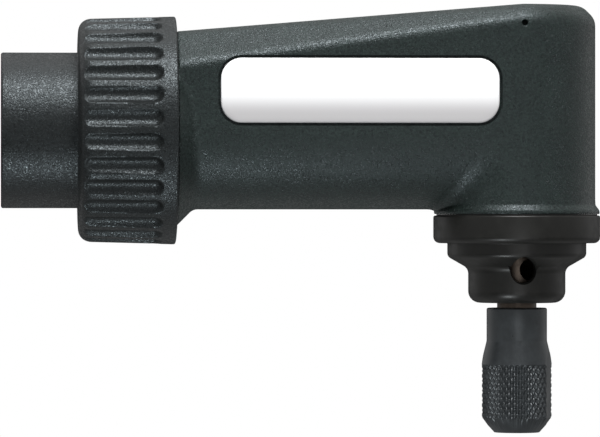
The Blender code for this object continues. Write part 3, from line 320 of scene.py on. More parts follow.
def worn_metal_group():
    """Turned steel: fine rings round the piece's own axis, with cloudy patches in its finish."""
    group, tree, given, out = new_group("Turned Metal", {
        "Colour": (0.3, 0.3, 0.3, 1.0), "Patch Colour": (0.2, 0.2, 0.2, 1.0), "Patch Share": 0.5,
        "Ring Scale": (0.0, 0.0, 9000.0), "Low Roughness": 0.3, "High Roughness": 0.45,
    })
    where = tree.place()
    along = tree.add("ShaderNodeVectorMath", {0: where, 1: given["Ring Scale"]},
                     operation="MULTIPLY").outputs["Vector"]
    rings = tree.noise(along, 1.0, 2.0, 0.6)
    cloud = tree.noise(where, 520.0, 5.0, 0.62)
    share = tree.times(tree.spread(cloud, 0.42, 0.66), given["Patch Share"])
    rough = tree.spread(cloud, *NOISE_SPAN, given["Low Roughness"], given["High Roughness"])
    tree.link(mix_colours(tree, share, given["Colour"], given["Patch Colour"]), out["Colour"])
    tree.link(rough, out["Roughness"])
    tree.link(tree.plus(rings, tree.times(cloud, 0.5)), out["Height"])
    return group


def mix_colours(tree, share, first, second):
    """A colour between two, by a share from 0 to 1."""
    mixed = tree.add("ShaderNodeMix", data_type="RGBA")
    for socket in mixed.inputs:
        if socket.identifier == "Factor_Float":
            tree.link(share, socket)
        for name, value in (("A_Color", first), ("B_Color", second)):
            if socket.identifier != name:
                continue
            if isinstance(value, bpy.types.NodeSocket):
                tree.link(value, socket)
            else:
                socket.default_value = value
    return next(socket for socket in mixed.outputs if socket.identifier == "Result_Color")


def new_material(name):
    """A new material with its tree and its Principled shader."""
    material = bpy.data.materials.new(name)
    material.use_nodes = True
    return material, Tree(material.node_tree), material.node_tree.nodes["Principled BSDF"]


def feed_shader(tree, shader, tint, rough, height, strength, distance):
    """Joins colour and roughness to a shader, and a height as its bump."""
    bump = tree.add("ShaderNodeBump", {
        "Height": height, "Strength": strength, "Distance": distance,
    }).outputs["Normal"]
    for label, output in (("Base Color", tint), ("Roughness", rough), ("Normal", bump)):
        tree.link(output, shader.inputs[label])


def finish(name, group, values, constants, strength, distance, edge_dullness=0.0):
    """A material whose colour, roughness and bump come from a shared group."""
    material, tree, shader = new_material(name)
    effect = tree.add("ShaderNodeGroup", values, node_tree=group).outputs
    facing = tree.add("ShaderNodeLayerWeight", {"Blend": 0.5}).outputs["Facing"]
    dulled = tree.times(tree.math("POWER", facing, 3.0), edge_dullness)
    rough = tree.plus(effect["Roughness"], dulled)
    feed_shader(tree, shader, effect["Colour"], rough, effect["Height"], strength, distance)
    for label, value in constants.items():
        shader.inputs[label].default_value = value
    return material


def moulded_finish(name, tint, speck_share=0.35, scale=2900.0):
    speck = bpy.context.scene.attachment_colours.speck
    return finish(
        name, SHARED["grain"],
        {"Colour": (*tint, 1.0), "Speck Colour": (*speck, 1.0), "Speck Share": speck_share,
         "Grain Scale": scale},
        {"Specular IOR Level": 0.26, "Specular Tint": (0.84, 0.95, 1.0, 1.0)}, 0.9, 0.00006, 0.6,
    )


def metal_finish(name, tint, patch, metallic, roughness, rings, patch_share=0.5, gloss=0.5,
                 edge_dullness=0.0):
    """Turned metal. Its patches are a colour, or a share of the metal's own colour."""
    if isinstance(patch, float):
        patch = [part * patch for part in tint]
    return finish(
        name, SHARED["metal"],
        {"Colour": (*tint, 1.0), "Patch Colour": (*patch, 1.0), "Patch Share": patch_share,
         "Low Roughness": roughness[0], "High Roughness": roughness[1], "Ring Scale": rings},
        {"Metallic": metallic, "Specular IOR Level": gloss}, 0.25, 0.00002, edge_dullness,
    )


def badge_finish(name):
    """A glossy white plate with painted shade: pale grey towards its lower edge, below the light
    from above.
    """
    colours = bpy.context.scene.attachment_colours
    low, high = (corner.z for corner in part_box("nameplate"))
    material, tree, shader = new_material(name)
    where = tree.place()
    height = tree.add("ShaderNodeSeparateXYZ", {"Vector": where}).outputs["Z"]
    # Painted shade: the colour goes from white at the top to pale grey lower down, as the light
    # from above falls.
    share = tree.spread(height, low + 0.12 * (high - low), low + 0.56 * (high - low),
                        interpolation_type="SMOOTHSTEP")
    tint = mix_colours(tree, share, (*colours.badge_painted_shade, 1.0), (*colours.badge_top, 1.0))
    orange_peel = tree.noise(where, 900.0, 2.0)
    rough = tree.spread(orange_peel, *NOISE_SPAN, 0.30, 0.38)
    feed_shader(tree, shader, tint, rough, orange_peel, 0.05, 0.00002)
    shader.inputs["Specular IOR Level"].default_value = 0.3
    return material


# Mesh helpers: profiles are (radius, height) pairs in millimetres, with a rounding where soft


def soft_corners(points, steps=4):
    """A loop of (radius, height, rounding) with each rounded corner turned into an arc."""
    loop = []
    for i, point in enumerate(points):
        radius, height, rounding = (*point, 0.0)[:3]
        here = Vector((radius, height))
        if rounding == 0:
            loop.append(here)
            continue
        before = Vector(points[i - 1][:2]) - here
        after = Vector(points[(i + 1) % len(points)][:2]) - here
        half = before.angle(after) / 2
        reach = rounding / math.tan(half)
        centre = here + (before.normalized() + after.normalized()).normalized() * (
            rounding / math.sin(half))
        start = here + before.normalized() * reach - centre
        end = here + after.normalized() * reach - centre
        for j in range(steps + 1):
            ray = start.slerp(end, j / steps).normalized()
            loop.append(centre + ray * rounding)
    return loop


def split_runs(loop, pitch):
    """The loop with each run split in equal parts, none longer than pitch(start, end)."""
    dense = [loop[0]]
    for here, there in zip(loop, loop[1:]):
        parts = max(1, math.ceil((there - here).length / pitch(here, there)))
        dense.extend(here.lerp(there, (i + 1) / parts) for i in range(parts))
    return dense


def around_axis(radius, turn, height):
    return radius * math.cos(turn) * MM, radius * math.sin(turn) * MM, height * MM


def lathe_mesh(name, loop, steps, closed=True):
    """A closed profile swept round Z. Points on the axis become poles."""
    count = len(loop)
    verts = [
        around_axis(max(radius, 0.0), 2 * math.pi * i / steps, height)
        for i in range(steps) for radius, height in loop
    ]
    faces = []
    last = count if closed else count - 1
    for i in range(steps):
        here, there = i * count, (i + 1) % steps * count
        for j in range(last):
            after = (j + 1) % count
            faces.append((here + j, there + j, there + after, here + after))
    mesh = bpy.data.meshes.new(name)
    mesh.from_pydata(verts, [], faces)
    return tidy_mesh(mesh)


def mesh_of(name, bm):
    mesh = bpy.data.meshes.new(name)
    bm.to_mesh(mesh)
    bm.free()
    return mesh


def tidy_mesh(mesh, distance=0.000002):
    """Merges doubles, drops what has no area and turns every face outwards."""
    bm = bmesh.new()
    bm.from_mesh(mesh)
    bmesh.ops.remove_doubles(bm, verts=bm.verts, dist=distance)
    bmesh.ops.dissolve_degenerate(bm, edges=bm.edges, dist=distance / 10)
    bmesh.ops.recalc_face_normals(bm, faces=bm.faces)
    bm.to_mesh(mesh)
    bm.free()
    return mesh


def place_piece(name, mesh, material, body, replaced=(), sharp_deg=35):
    """Puts a finished mesh in the scene as one piece that rides on a body."""
    mesh.shade_smooth()
    mesh.set_sharp_from_angle(angle=math.radians(sharp_deg))
    mesh.materials.clear()
    mesh.materials.append(material)
    piece = bpy.data.objects.new(name, mesh)
    bpy.context.scene.collection.objects.link(piece)
    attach(piece, body)
    if replaced:
        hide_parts(*replaced)
    return piece


def helper_object(name, mesh):
    helper = bpy.data.objects.new(name, mesh)
    bpy.context.scene.collection.objects.link(helper)
    return helper


def evaluated_mesh(obj, name):
    """The object's finished mesh, with the object and its modifiers gone."""
    graph = bpy.context.evaluated_depsgraph_get()
    mesh = bpy.data.meshes.new_from_object(obj.evaluated_get(graph))
    mesh.name = name
    bpy.data.objects.remove(obj, do_unlink=True)
    return mesh


def carve(name, mesh, cutters):
    """The mesh with closed cutter meshes taken out of it."""
    body = helper_object(name, mesh)
    helpers = []
    for cutter in cutters:
        helper = helper_object(name + "_cutter", cutter)
        modifier = body.modifiers.new("carve", "BOOLEAN")
        modifier.operation = "DIFFERENCE"
        modifier.solver = "EXACT"
        modifier.object = helper
        helpers.append(helper)
    before = len(mesh.polygons)
    carved = evaluated_mesh(body, name)
    for helper in helpers:
        bpy.data.objects.remove(helper, do_unlink=True)
    if len(carved.polygons) == 0 or len(carved.polygons) == before:
        raise RuntimeError(name + " wasn't carved")
    return carved


def rod(start, end, radius, steps, end_radius=None):
    """A closed cylinder or cone between two points, in millimetres."""
    bm = bmesh.new()
    run = (Vector(end) - Vector(start)) * MM
    middle = (Vector(end) + Vector(start)) / 2 * MM
    turn = run.to_track_quat("Z", "Y").to_matrix().to_4x4()
    far = radius if end_radius is None else end_radius
    bmesh.ops.create_cone(
        bm, cap_ends=True, segments=steps, radius1=radius * MM, radius2=far * MM,
        depth=run.length, matrix=Matrix.Translation(middle) @ turn,
    )
    return mesh_of("rod", bm)


def slab(low, high, turn):
    """A closed box, turned about Z, in millimetres."""
    bm = bmesh.new()
    size = (Vector(high) - Vector(low)) * MM
    middle = (Vector(high) + Vector(low)) / 2 * MM
    place = Matrix.Translation(middle) @ Matrix.Diagonal((*size, 1.0))
    bmesh.ops.create_cube(bm, size=1.0, matrix=Matrix.Rotation(turn, 4, "Z") @ place)
    return mesh_of("slab", bm)


def heading(degrees):
    """The direction at an angle round Z."""
    turn = math.radians(degrees)
    return Vector((math.cos(turn), math.sin(turn), 0.0))


def moved(mesh, x=0.0, along_x=False):
    """The mesh turned so that its axis runs along X, or moved along X, in millimetres."""
    if along_x:
        mesh.transform(Matrix.Rotation(math.pi / 2, 4, "Y"))
    mesh.transform(Matrix.Translation((x * MM, 0.0, 0.0)))
    return mesh


# Geometry Nodes trees


def geometry_tree(name, numbers, counts=()):
    """A Geometry Nodes tree that takes a geometry, the named numbers and counts and a material."""
    group = bpy.data.node_groups.new(name, "GeometryNodeTree")
    group.is_modifier = True
    new_socket = group.interface.new_socket
    kinds = {"Geometry": "Geometry", **dict.fromkeys(counts, "Int"),
             **dict.fromkeys(numbers, "Float"), "Material": "Material"}
    for label, kind in kinds.items():
        new_socket(name=label, in_out="INPUT", socket_type="NodeSocket" + kind)
    new_socket(name="Geometry", in_out="OUTPUT", socket_type="NodeSocketGeometry")
    tree = Tree(group)
    return group, tree, tree.add("NodeGroupInput").outputs


def end_tree(tree, geometry, material):
    """Closes a tree with Realize Instances and Set Material."""
    real = tree.add("GeometryNodeRealizeInstances", {"Geometry": geometry})
    painted = tree.add("GeometryNodeSetMaterial", {
        "Geometry": real.outputs["Geometry"], "Material": material,
    })
    tree.add("NodeGroupOutput", {"Geometry": painted.outputs["Geometry"]})


def run_tree(name, mesh, group, values):
    """The mesh that a tree makes from the given one."""
    carrier = helper_object(name, mesh)
    modifier = carrier.modifiers.new("nodes", "NODES")
    modifier.node_group = group
    for item in group.interface.items_tree:
        if item.item_type == "SOCKET" and item.in_out == "INPUT" and item.name in values:
            modifier[item.identifier] = values[item.name]
    made = evaluated_mesh(carrier, name)
    if not made.polygons:
        raise RuntimeError(name + " came out empty")
    return made


def round_array_tree():
    """Copies a wedge round Z and welds the copies into one closed ring."""
    group, tree, given = geometry_tree("Round Array", ["Weld Distance"], ["Count"])
    points = tree.add("GeometryNodeMeshLine", {
        "Count": given["Count"], "Offset": (0.0, 0.0, 0.0),
    })
    step = tree.over(2 * math.pi, given["Count"])
    index = tree.add("GeometryNodeInputIndex").outputs["Index"]
    euler = tree.add("ShaderNodeCombineXYZ", {"Z": tree.times(index, step)})
    turn = tree.add("FunctionNodeEulerToRotation", {"Euler": euler.outputs["Vector"]})
    wedges = tree.add("GeometryNodeInstanceOnPoints", {
        "Points": points.outputs["Mesh"], "Instance": given["Geometry"],
        "Rotation": turn.outputs["Rotation"],
    })
    loose = tree.add("GeometryNodeRealizeInstances", {"Geometry": wedges.outputs["Instances"]})
    ring = tree.add("GeometryNodeMergeByDistance", {
        "Geometry": loose.outputs["Geometry"], "Distance": given["Weld Distance"],
    })
    end_tree(tree, ring.outputs["Geometry"], given["Material"])
    return group


def thread_tree():
    """A ridge of triangular section that winds up a bore."""
    group, tree, given = geometry_tree("Thread", ["Radius", "Height", "Turns", "Length"])
    helix = tree.add("GeometryNodeCurveSpiral", {
        "Resolution": 72, "Rotations": given["Turns"], "Start Radius": given["Radius"],
        "End Radius": given["Radius"], "Height": given["Length"],
    })
    level = tree.add("GeometryNodeSetCurveNormal", {"Curve": helix.outputs["Curve"]})
    level.mode = "Z_UP"
    section = tree.add("GeometryNodeCurvePrimitiveCircle", {
        "Resolution": 4, "Radius": given["Height"],
    }, mode="RADIUS")
    ridge = tree.add("GeometryNodeCurveToMesh", {
        "Curve": level.outputs["Curve"], "Profile Curve": section.outputs["Curve"],
        "Fill Caps": True,
    })
    end_tree(tree, ridge.outputs["Mesh"], given["Material"])
    return group


def knurl_tree():
    """Presses a diamond knurl into a round bar, then mills two flats on it."""
    group, tree, given = geometry_tree("Diamond Knurl", [
        "Pitch", "Depth", "Bottom", "Top", "Half Flats", "Flat Turn", "Least Radius",
    ], ["Count"])
    spot = tree.add("ShaderNodeSeparateXYZ", {
        "Vector": tree.add("GeometryNodeInputPosition").outputs["Position"],
    }).outputs
    turn = tree.math("ARCTAN2", spot["Y"], spot["X"])
    round_share = tree.times(turn, tree.over(given["Count"], 2 * math.pi))
    rise_share = tree.over(spot["Z"], given["Pitch"])
    ridges = []
    for operation in ("ADD", "SUBTRACT"):
        thread = tree.math(operation, round_share, rise_share)
        ridges.append(tree.math("SINE", tree.times(
            tree.math("PINGPONG", thread, 0.5), math.pi)))
    crest = tree.times(*ridges)
    radius = tree.math("SQRT", tree.plus(tree.times(spot["X"], spot["X"]),
                                         tree.times(spot["Y"], spot["Y"])))
    above = tree.spread(spot["Z"], given["Bottom"], tree.plus(given["Bottom"], 0.0003))
    below = tree.spread(spot["Z"], given["Top"], tree.minus(given["Top"], 0.0003))
    outside = tree.math("GREATER_THAN", radius, given["Least Radius"])
    mask = tree.times(tree.times(above, below), outside)
    groove = tree.times(tree.minus(1.0, crest), given["Depth"])
    sunk = tree.minus(radius, tree.times(groove, mask))
    facing = tree.plus(tree.times(spot["X"], tree.math("COSINE", given["Flat Turn"])),
                       tree.times(spot["Y"], tree.math("SINE", given["Flat Turn"])))
    share = tree.math("ABSOLUTE", tree.over(facing, radius))
    flat_radius = tree.over(given["Half Flats"], tree.math("MAXIMUM", share, 0.001))
    milled = tree.math("MINIMUM", sunk, flat_radius)
    scale = tree.over(milled, radius)
    place = tree.add("ShaderNodeCombineXYZ", {
        "X": tree.times(spot["X"], scale), "Y": tree.times(spot["Y"], scale),
        "Z": spot["Z"],
    })
    knurled = tree.add("GeometryNodeSetPosition", {
        "Geometry": given["Geometry"], "Position": place.outputs["Vector"],
    })
    end_tree(tree, knurled.outputs["Geometry"], given["Material"])
    return group


# The coupling nut


def flute_wedge(sizes):
    """One flute's share of the nut, round Z from its open end: outside, far end, then the bore."""
    count = sizes.flute_count
    width = sizes.flute_width / MM
    depth = sizes.flute_depth / MM
    soft = sizes.lip_softness / MM
    mill_r = (width ** 2 / 4 + depth ** 2) / (2 * depth)
    centre_r = RING_R - depth + mill_r
    low = SLEEVE_LENGTH + FLUTE_START + mill_r
    high = RING_END - FLUTE_RIM - mill_r
    outside = soft_corners([
        (10.2, 0.0), (SLEEVE_R, 0.0, 0.35), (SLEEVE_R, SLEEVE_LENGTH, 0.25),
        (RING_START_R, SLEEVE_LENGTH, RING_CORNER), (RING_R, RING_END, 0.3),
        (SKIRT_R, RING_END, 0.25),
    ], 9)[:-5]
    dense = split_runs(
        outside, lambda here, there: 0.3 if min(here.x, there.x) > FLUTED_FROM_R else 1.6)
    bore = (
        (13.65, RING_END), (SKIRT_R, RING_END - 0.25), (SKIRT_R, 18.45), (14.1, 18.45),
        (14.1, 16.95), (SKIRT_R, 16.95), (SKIRT_R, THREAD_END), (THREAD_R, THREAD_END),
        (THREAD_R, 0.9), (9.5, 0.0),
    )
    columns = 24
    rows = []
    for i in range(columns + 1):
        turn = (i / columns - 0.5) * 2 * math.pi / count
        row = []
        for radius, height in dense:
            short = height - min(max(height, low), high)
            reach = mill_r ** 2 - short ** 2
            across = centre_r * math.cos(turn)
            under = across ** 2 - centre_r ** 2 + reach
            milled = radius
            if radius > FLUTED_FROM_R and reach > 0 and under > 0:
                floor = across - math.sqrt(under)
                gap = max(soft - abs(floor - radius), 0.0) / soft
                milled = min(floor, radius) - gap * gap * soft / 4
            elif radius > FLUTED_FROM_R and reach > 0:
                half_width = math.sqrt(max(reach - (centre_r - radius) ** 2, 0.0))
                edge = radius * abs(turn) - half_width
                if 0 < edge < soft:
                    milled = radius - (1 - edge / soft) ** 2 * soft / 4
            row.append((milled, height))
        row.extend(bore)
        rows.append((turn, row))
    verts = [around_axis(radius, turn, height) for turn, row in rows for radius, height in row]
    length = len(rows[0][1])
    faces = [
        (i * length + j, (i + 1) * length + j, (i + 1) * length + (j + 1) % length,
         i * length + (j + 1) % length)
        for i in range(columns) for j in range(length)
    ]
    mesh = bpy.data.meshes.new("flute_wedge")
    mesh.from_pydata(verts, [], faces)
    return mesh


class ATTACHMENT_OT_coupling_nut(bpy.types.Operator):
    """Makes the fluted coupling nut and the thread in its mouth"""

    bl_idname = "attachment.coupling_nut"
    bl_label = "Coupling Nut"

    def execute(self, context):
        sizes = context.scene.attachment_coupling
        # The coupling's darker charcoal is painted shade on the case's plastic.
        moulding = moulded_finish("moulded_coupling_painted_shade", context.scene.attachment_colours.coupling)
        ring = run_tree("coupling_grip", flute_wedge(sizes), round_array_tree(), {
            "Count": sizes.flute_count, "Weld Distance": 0.000004, "Material": moulding,
        })
        ring = tidy_mesh(ring)
        # The lathe axis is Z. Turned on to X, its own X points down: the front is at -90 degrees.
        ring.transform(Matrix.Rotation(-math.pi / 2 - sizes.flute_turn, 4, "Z"))
        ring = moved(ring, along_x=True)
        place_piece("coupling_grip", ring, moulding, "coupling", ["coupling_nut"],
                    40)
        run = 11.6 * MM
        ridge = run_tree("coupling_thread", bpy.data.meshes.new("thread"), thread_tree(), {
            "Radius": THREAD_R * MM, "Height": sizes.thread_height,
            "Turns": run / sizes.thread_pitch, "Length": run, "Material": moulding,
        })
        ridge.transform(Matrix.Translation((0.0, 0.0, 1.5 * MM)))
        ridge = tidy_mesh(moved(ridge, along_x=True))
        place_piece("coupling_thread", ridge, moulding, "coupling")
        return {"FINISHED"}


# The gear case, from its outside given as distances


def soft_least(first, second, soft):
    """The smaller of two distances, with the crease between them filled a little."""
    close = np.maximum(soft - np.abs(first - second), 0.0) / soft
    return np.minimum(first, second) - close * close * soft / 4


def soft_most(first, second, soft):
    """The larger of two distances, with the ridge between them rounded a little."""
    return -soft_least(-first, -second, soft)


def case_distance(spots, edge, crease):
    """How far points lie outside the case's plastic, in millimetres: below zero is inside.

    The body is the arm, its belly and the head with its flare, then the cone and the collar that
    the coupling nut turns on. The bore and the bearing pockets are taken out at the end.
    """
    x, y, z = spots
    from_axis = np.hypot(y, z)
    from_head = np.hypot(x - HEAD_X, y)
    side = np.where(x < HEAD_X, np.abs(y), from_head)
    along = np.clip((x - FACE_X) / (HEAD_X - FACE_X), -0.2, 1.0)
    top = z - (ARM_TOP_Z + (HEAD_TOP_Z - ARM_TOP_Z) * along)
    reach = ARM_SLOPE_START + (ARM_SLOPE_END - ARM_SLOPE_START) * along
    slope = (side + z - reach) * math.sqrt(0.5)
    belly = from_axis - BELLY_R
    barrel = from_head - HEAD_R
    under = np.minimum(-z, soft_least(belly, barrel, crease))
    body = soft_most(side - HEAD_R, soft_most(top, slope, edge), edge)
    body = np.maximum(body, under)
    face = FACE_X - 0.2
    body = soft_most(body, face - x, 0.15)
    swing = np.clip((FLARE_START_Z - z) / FLARE_HEIGHT, 0.0, 1.0) * (math.pi / 2)
    flare_r = HEAD_R + FLARE_WIDTH * np.sin(swing) ** 2
    flare = soft_most((from_head - flare_r) * 0.85, z + 10.3, 0.1)
    body = soft_least(body, flare, 0.1)
    body = soft_most(body, HEAD_BOTTOM_Z - z, 0.12)
    cone = (from_axis - (CONE_R - (x - face))) * math.sqrt(0.5)
    body = soft_least(body, soft_most(cone, face - x, 0.15), 0.5)
    start, end = COLLAR_X
    journal = np.maximum(from_axis - JOURNAL_R, np.maximum(start - x, x - FACE_X - 1.0))
    collar = soft_most(from_axis - COLLAR_R, np.maximum(start - x, x - end), 0.2)
    body = np.minimum(body, np.minimum(journal, collar))
    bore = np.maximum(from_axis - 6.58, x - 65.0)
    bore = np.minimum(bore, np.maximum(from_axis - 5.0, x - HEAD_X))
    pocket = np.maximum(from_head - 9.98, z + 8.5)
    pocket = np.minimum(pocket, np.maximum(from_head - 8.6, z - 7.0))
    narrowing = (from_head - (8.6 - (z - 7.0) * 1.12)) * 0.66
    pocket = np.minimum(pocket, np.maximum(narrowing, np.abs(z - 8.35) - 1.36))
    pocket = np.minimum(pocket, np.maximum(from_head - 5.58, z - 14.3))
    return soft_most(body, -np.minimum(bore, pocket), 0.1)


def grid_line(low, high, cell, fine=()):
    """Places from low to high, a cell apart, or closer in each fine (from, to, step) stretch."""
    line = [low]
    while line[-1] < high:
        steps = [step for start, end, step in fine if start <= line[-1] < end]
        line.append(line[-1] + min(steps, default=cell))
    return np.array(line)


def surface_of(distance, lines):
    """Points and quads of the surface where a distance is zero, a point in each crossed cell."""
    grid = np.meshgrid(*lines, indexing="ij")
    steps = np.meshgrid(*(np.diff(line) for line in lines), indexing="ij")
    reach = min(np.diff(line).min() for line in lines)
    values = distance(grid)
    inside = values < 0
    cells = tuple(size - 1 for size in values.shape)
    total = np.zeros(cells)
    places = [np.zeros(cells) for _ in range(3)]

    def corner(array, step):
        return array[tuple(slice(low, low + size) for low, size in zip(step, cells))]

    for axis, one, two in itertools.product(range(3), (0, 1), (0, 1)):
        start, end = np.roll((0, one, two), axis), np.roll((1, one, two), axis)
        first, last = corner(values, start), corner(values, end)
        crossing = (first < 0) != (last < 0)
        share = np.where(crossing, first / np.where(crossing, first - last, 1.0), 0.0)
        for i in range(3):
            at = corner(grid[i], start) + (share * steps[i] if i == axis else 0.0)
            places[i] += np.where(crossing, at, 0.0)
        total += crossing
    used = total > 0
    points = np.stack([place[used] / total[used] for place in places])
    for _ in range(6):
        away = distance(points)
        slope = np.stack([
            (distance(points + nudge) - distance(points - nudge)) / (2 * NUDGE)
            for nudge in np.eye(3)[:, :, None] * NUDGE
        ])
        steep = np.maximum((slope ** 2).sum(0), 0.25)
        points = points - np.clip(away / steep, -reach, reach) * slope
    number = np.full(cells, -1)
    number[used] = np.arange(used.sum())
    quads = []
    for axis in range(3):
        one, two = (axis + 1) % 3, (axis + 2) % 3
        span = [slice(None)] * 3
        span[axis] = slice(0, -1)
        span[one] = slice(1, -1)
        span[two] = slice(1, -1)
        ahead = list(span)
        ahead[axis] = slice(1, None)
        first, last = inside[tuple(span)], inside[tuple(ahead)]
        at = np.argwhere(first != last)
        solid_first = first[first != last]
        at[:, one] += 1
        at[:, two] += 1
        ring = []
        for back_one, back_two in ((1, 1), (0, 1), (0, 0), (1, 0)):
            cell_at = at.copy()
            cell_at[:, one] -= back_one
            cell_at[:, two] -= back_two
            ring.append(number[tuple(cell_at.T)])
        ring = np.stack(ring, 1)
        quads.append(np.where(solid_first[:, None], ring, ring[:, ::-1]))
    return points.T, np.concatenate(quads)


def plate_outline(margin, corner_steps=10):
    """The badge's outline grown by a margin, as (x, z) pairs in millimetres."""
    low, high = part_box("nameplate")
    half_x = (high.x - low.x) / 2 / MM + margin
    half_z = (high.z - low.z) / 2 / MM + margin
    middle = (low + high) / 2 / MM
    corner = BADGE_CORNER + margin
    outline = []
    for side_x, side_z, start in ((1, 1, 0), (-1, 1, 90), (-1, -1, 180), (1, -1, 270)):
        for i in range(corner_steps + 1):
            angle = math.radians(start + 90 * i / corner_steps)
            outline.append((
                middle.x + side_x * (half_x - corner) + corner * math.cos(angle),
                middle.z + side_z * (half_z - corner) + corner * math.sin(angle),
            ))
    return outline


def plate_mesh(name, levels):
    """A closed slab through the badge's outline at each (margin, y) level."""
    bm = bmesh.new()
    rings = []
    for margin, y in levels:
        rings.append([bm.verts.new((x * MM, y * MM, z * MM)) for x, z in plate_outline(margin)])
    for here, there in zip(rings, rings[1:]):
        for i in range(len(here)):
            after = (i + 1) % len(here)
            bm.faces.new((here[i], here[after], there[after], there[i]))
    bm.faces.new(rings[0])
    bm.faces.new(rings[-1])
    bmesh.ops.recalc_face_normals(bm, faces=bm.faces)
    return mesh_of(name, bm)


class ATTACHMENT_OT_gear_case(bpy.types.Operator):
    """Makes the moulded gear case with its softened ridges, badge recess and vent"""

    bl_idname = "attachment.gear_case"
    bl_label = "Gear Case"

    def execute(self, context):
        sizes = context.scene.attachment_case
        edge = sizes.edge_softness / MM
        crease = sizes.crease_softness / MM
        cell = sizes.cell / MM
        points, quads = surface_of(lambda spots: case_distance(spots, edge, crease), (
            grid_line(13.1, 87.4, cell, ((FACE_X - 0.5, FACE_X + 0.6, 0.12),)),
            grid_line(-14.7, 14.7, cell),
            grid_line(-14.7, 18.8, cell, ((-12.5, -10.4, 0.13), (17.6, 18.8, 0.18))),
        ))
        mesh = bpy.data.meshes.new("case_shell")
        mesh.from_pydata((points * MM).tolist(), [], quads.tolist())
        mesh = tidy_mesh(mesh)
        recess = plate_mesh("recess", ((0.42, -12.6), (0.42, -10.55)))
        vent_r = sizes.vent_radius / MM
        vent = rod((HEAD_X, -12.6, VENT_Z), (HEAD_X, -8.9, VENT_Z), vent_r, 32)
        sink = rod((HEAD_X, -11.6, VENT_Z), (HEAD_X, -11.2, VENT_Z), vent_r + 0.32, 32,
                   vent_r - 0.08)
        mesh = carve("case_shell", mesh, [recess, vent, sink])
        skin = moulded_finish("moulded_case", context.scene.attachment_colours.moulding)
        place_piece("case_shell", mesh, skin, "housing",
                    ["gear_housing"], 48)
        return {"FINISHED"}


class ATTACHMENT_OT_badge(bpy.types.Operator):
    """Makes the plain badge plate with its rounded rim"""

    bl_idname = "attachment.badge"
    bl_label = "Badge"

    def execute(self, context):
        plate = plate_mesh("badge_plate", (
            (0.0, -10.57), (0.0, -11.25), (-0.03, -11.34), (-0.10, -11.41), (-0.22, -11.445),
            (-0.9, -11.45),
        ))
        # The badge's material holds painted shade on its lower part.
        place_piece("badge_plate", plate, badge_finish("badge_white"), "housing",
                    ["nameplate"], 50)
        return {"FINISHED"}


# The bearing cap


class ATTACHMENT_OT_bearing_cap(bpy.types.Operator):
    """Turns the stepped bearing cap and drills its lock hole"""

    bl_idname = "attachment.bearing_cap"
    bl_label = "Bearing Cap"

    def execute(self, context):
        loop = soft_corners([
            (3.176, -25.1, 0.15), (7.1, -25.1, 1.7), (7.1, -20.1, 1.3), (10.15, -18.35, 0.9),
            (10.15, -16.4, 0.12), (12.2, -16.4, 0.95), (12.2, -12.36, 0.3), (11.75, -12.36),
            (11.75, -12.165), (8.925, -12.165), (8.925, -11.1), (9.9, -11.1), (9.9, -8.8),
            (7.58, -8.8), (7.58, -9.35), (8.13, -9.35), (8.13, -10.25), (7.58, -10.25),
            (7.58, -15.7), (4.3, -15.7), (4.3, -24.3), (3.176, -24.3),
        ], 7)
        side = heading(-88.0)
        height = Vector((0.0, 0.0, LOCK_HOLE_Z))
        mesh = carve("cap_turned", lathe_mesh("cap_turned", loop, 128), [
            rod(height + side, height + side * 14, 1.94, 48),
            rod(height + side * 6.86, height + side * 7.5, 1.94, 48, 2.5),
        ])
        skin = metal_finish("cap_black", context.scene.attachment_colours.cap_black, 2.1, 0.0,
                            (0.28, 0.44), (600.0, 600.0, 5200.0), 0.45, 0.2, 0.8)
        place_piece("cap_turned", moved(mesh, HEAD_X), skin, "housing", ["bearing_cap"],
                    35)
        return {"FINISHED"}


# The collet nut


class ATTACHMENT_OT_collet_nut(bpy.types.Operator):
    """Turns the collet nut, presses its knurl and mills its flats"""

    bl_idname = "attachment.collet_nut"
    bl_label = "Collet Nut"

    def execute(self, context):
        sizes = context.scene.attachment_nut
        outside = soft_corners([
            (2.05, -44.03, 0.2), (3.285, -44.03, 0.15), (5.25, -41.86, 0.15), (5.25, -34.05, 0.5),
            (4.41, -30.66, 1.2), (4.41, -25.84, 0.25), (3.65, -25.84, 0.2), (3.65, -38.9),
            (2.5, -38.9), (2.05, -41.7),
        ], 4)

        def pitch(here, there):
            knurled = min(here.x, there.x) > 4.0 and max(here.y, there.y) < -28.0
            return 0.1 if knurled else 1.5

        bar = lathe_mesh("nut_knurled", split_runs(outside, pitch), 320)
        skin = metal_finish("black_oxide", context.scene.attachment_colours.black_oxide, 1.8, 0.35,
                            (0.27, 0.40), (400.0, 400.0, 9000.0), 0.5, 0.3, 0.6)
        nut = run_tree("nut_knurled", bar, knurl_tree(), {
            "Count": sizes.knurl_count, "Pitch": sizes.knurl_pitch, "Depth": sizes.knurl_depth,
            "Bottom": sizes.knurl_low, "Top": sizes.knurl_high, "Half Flats": sizes.flats / 2,
            "Flat Turn": sizes.flat_turn, "Least Radius": 4.2 * MM, "Material": skin,
        })
        place_piece("nut_knurled", moved(nut, HEAD_X), skin, "collet_nut_body",
                    ["collet_nut"], 32)
        return {"FINISHED"}


# The spindle, the collet and the drive socket


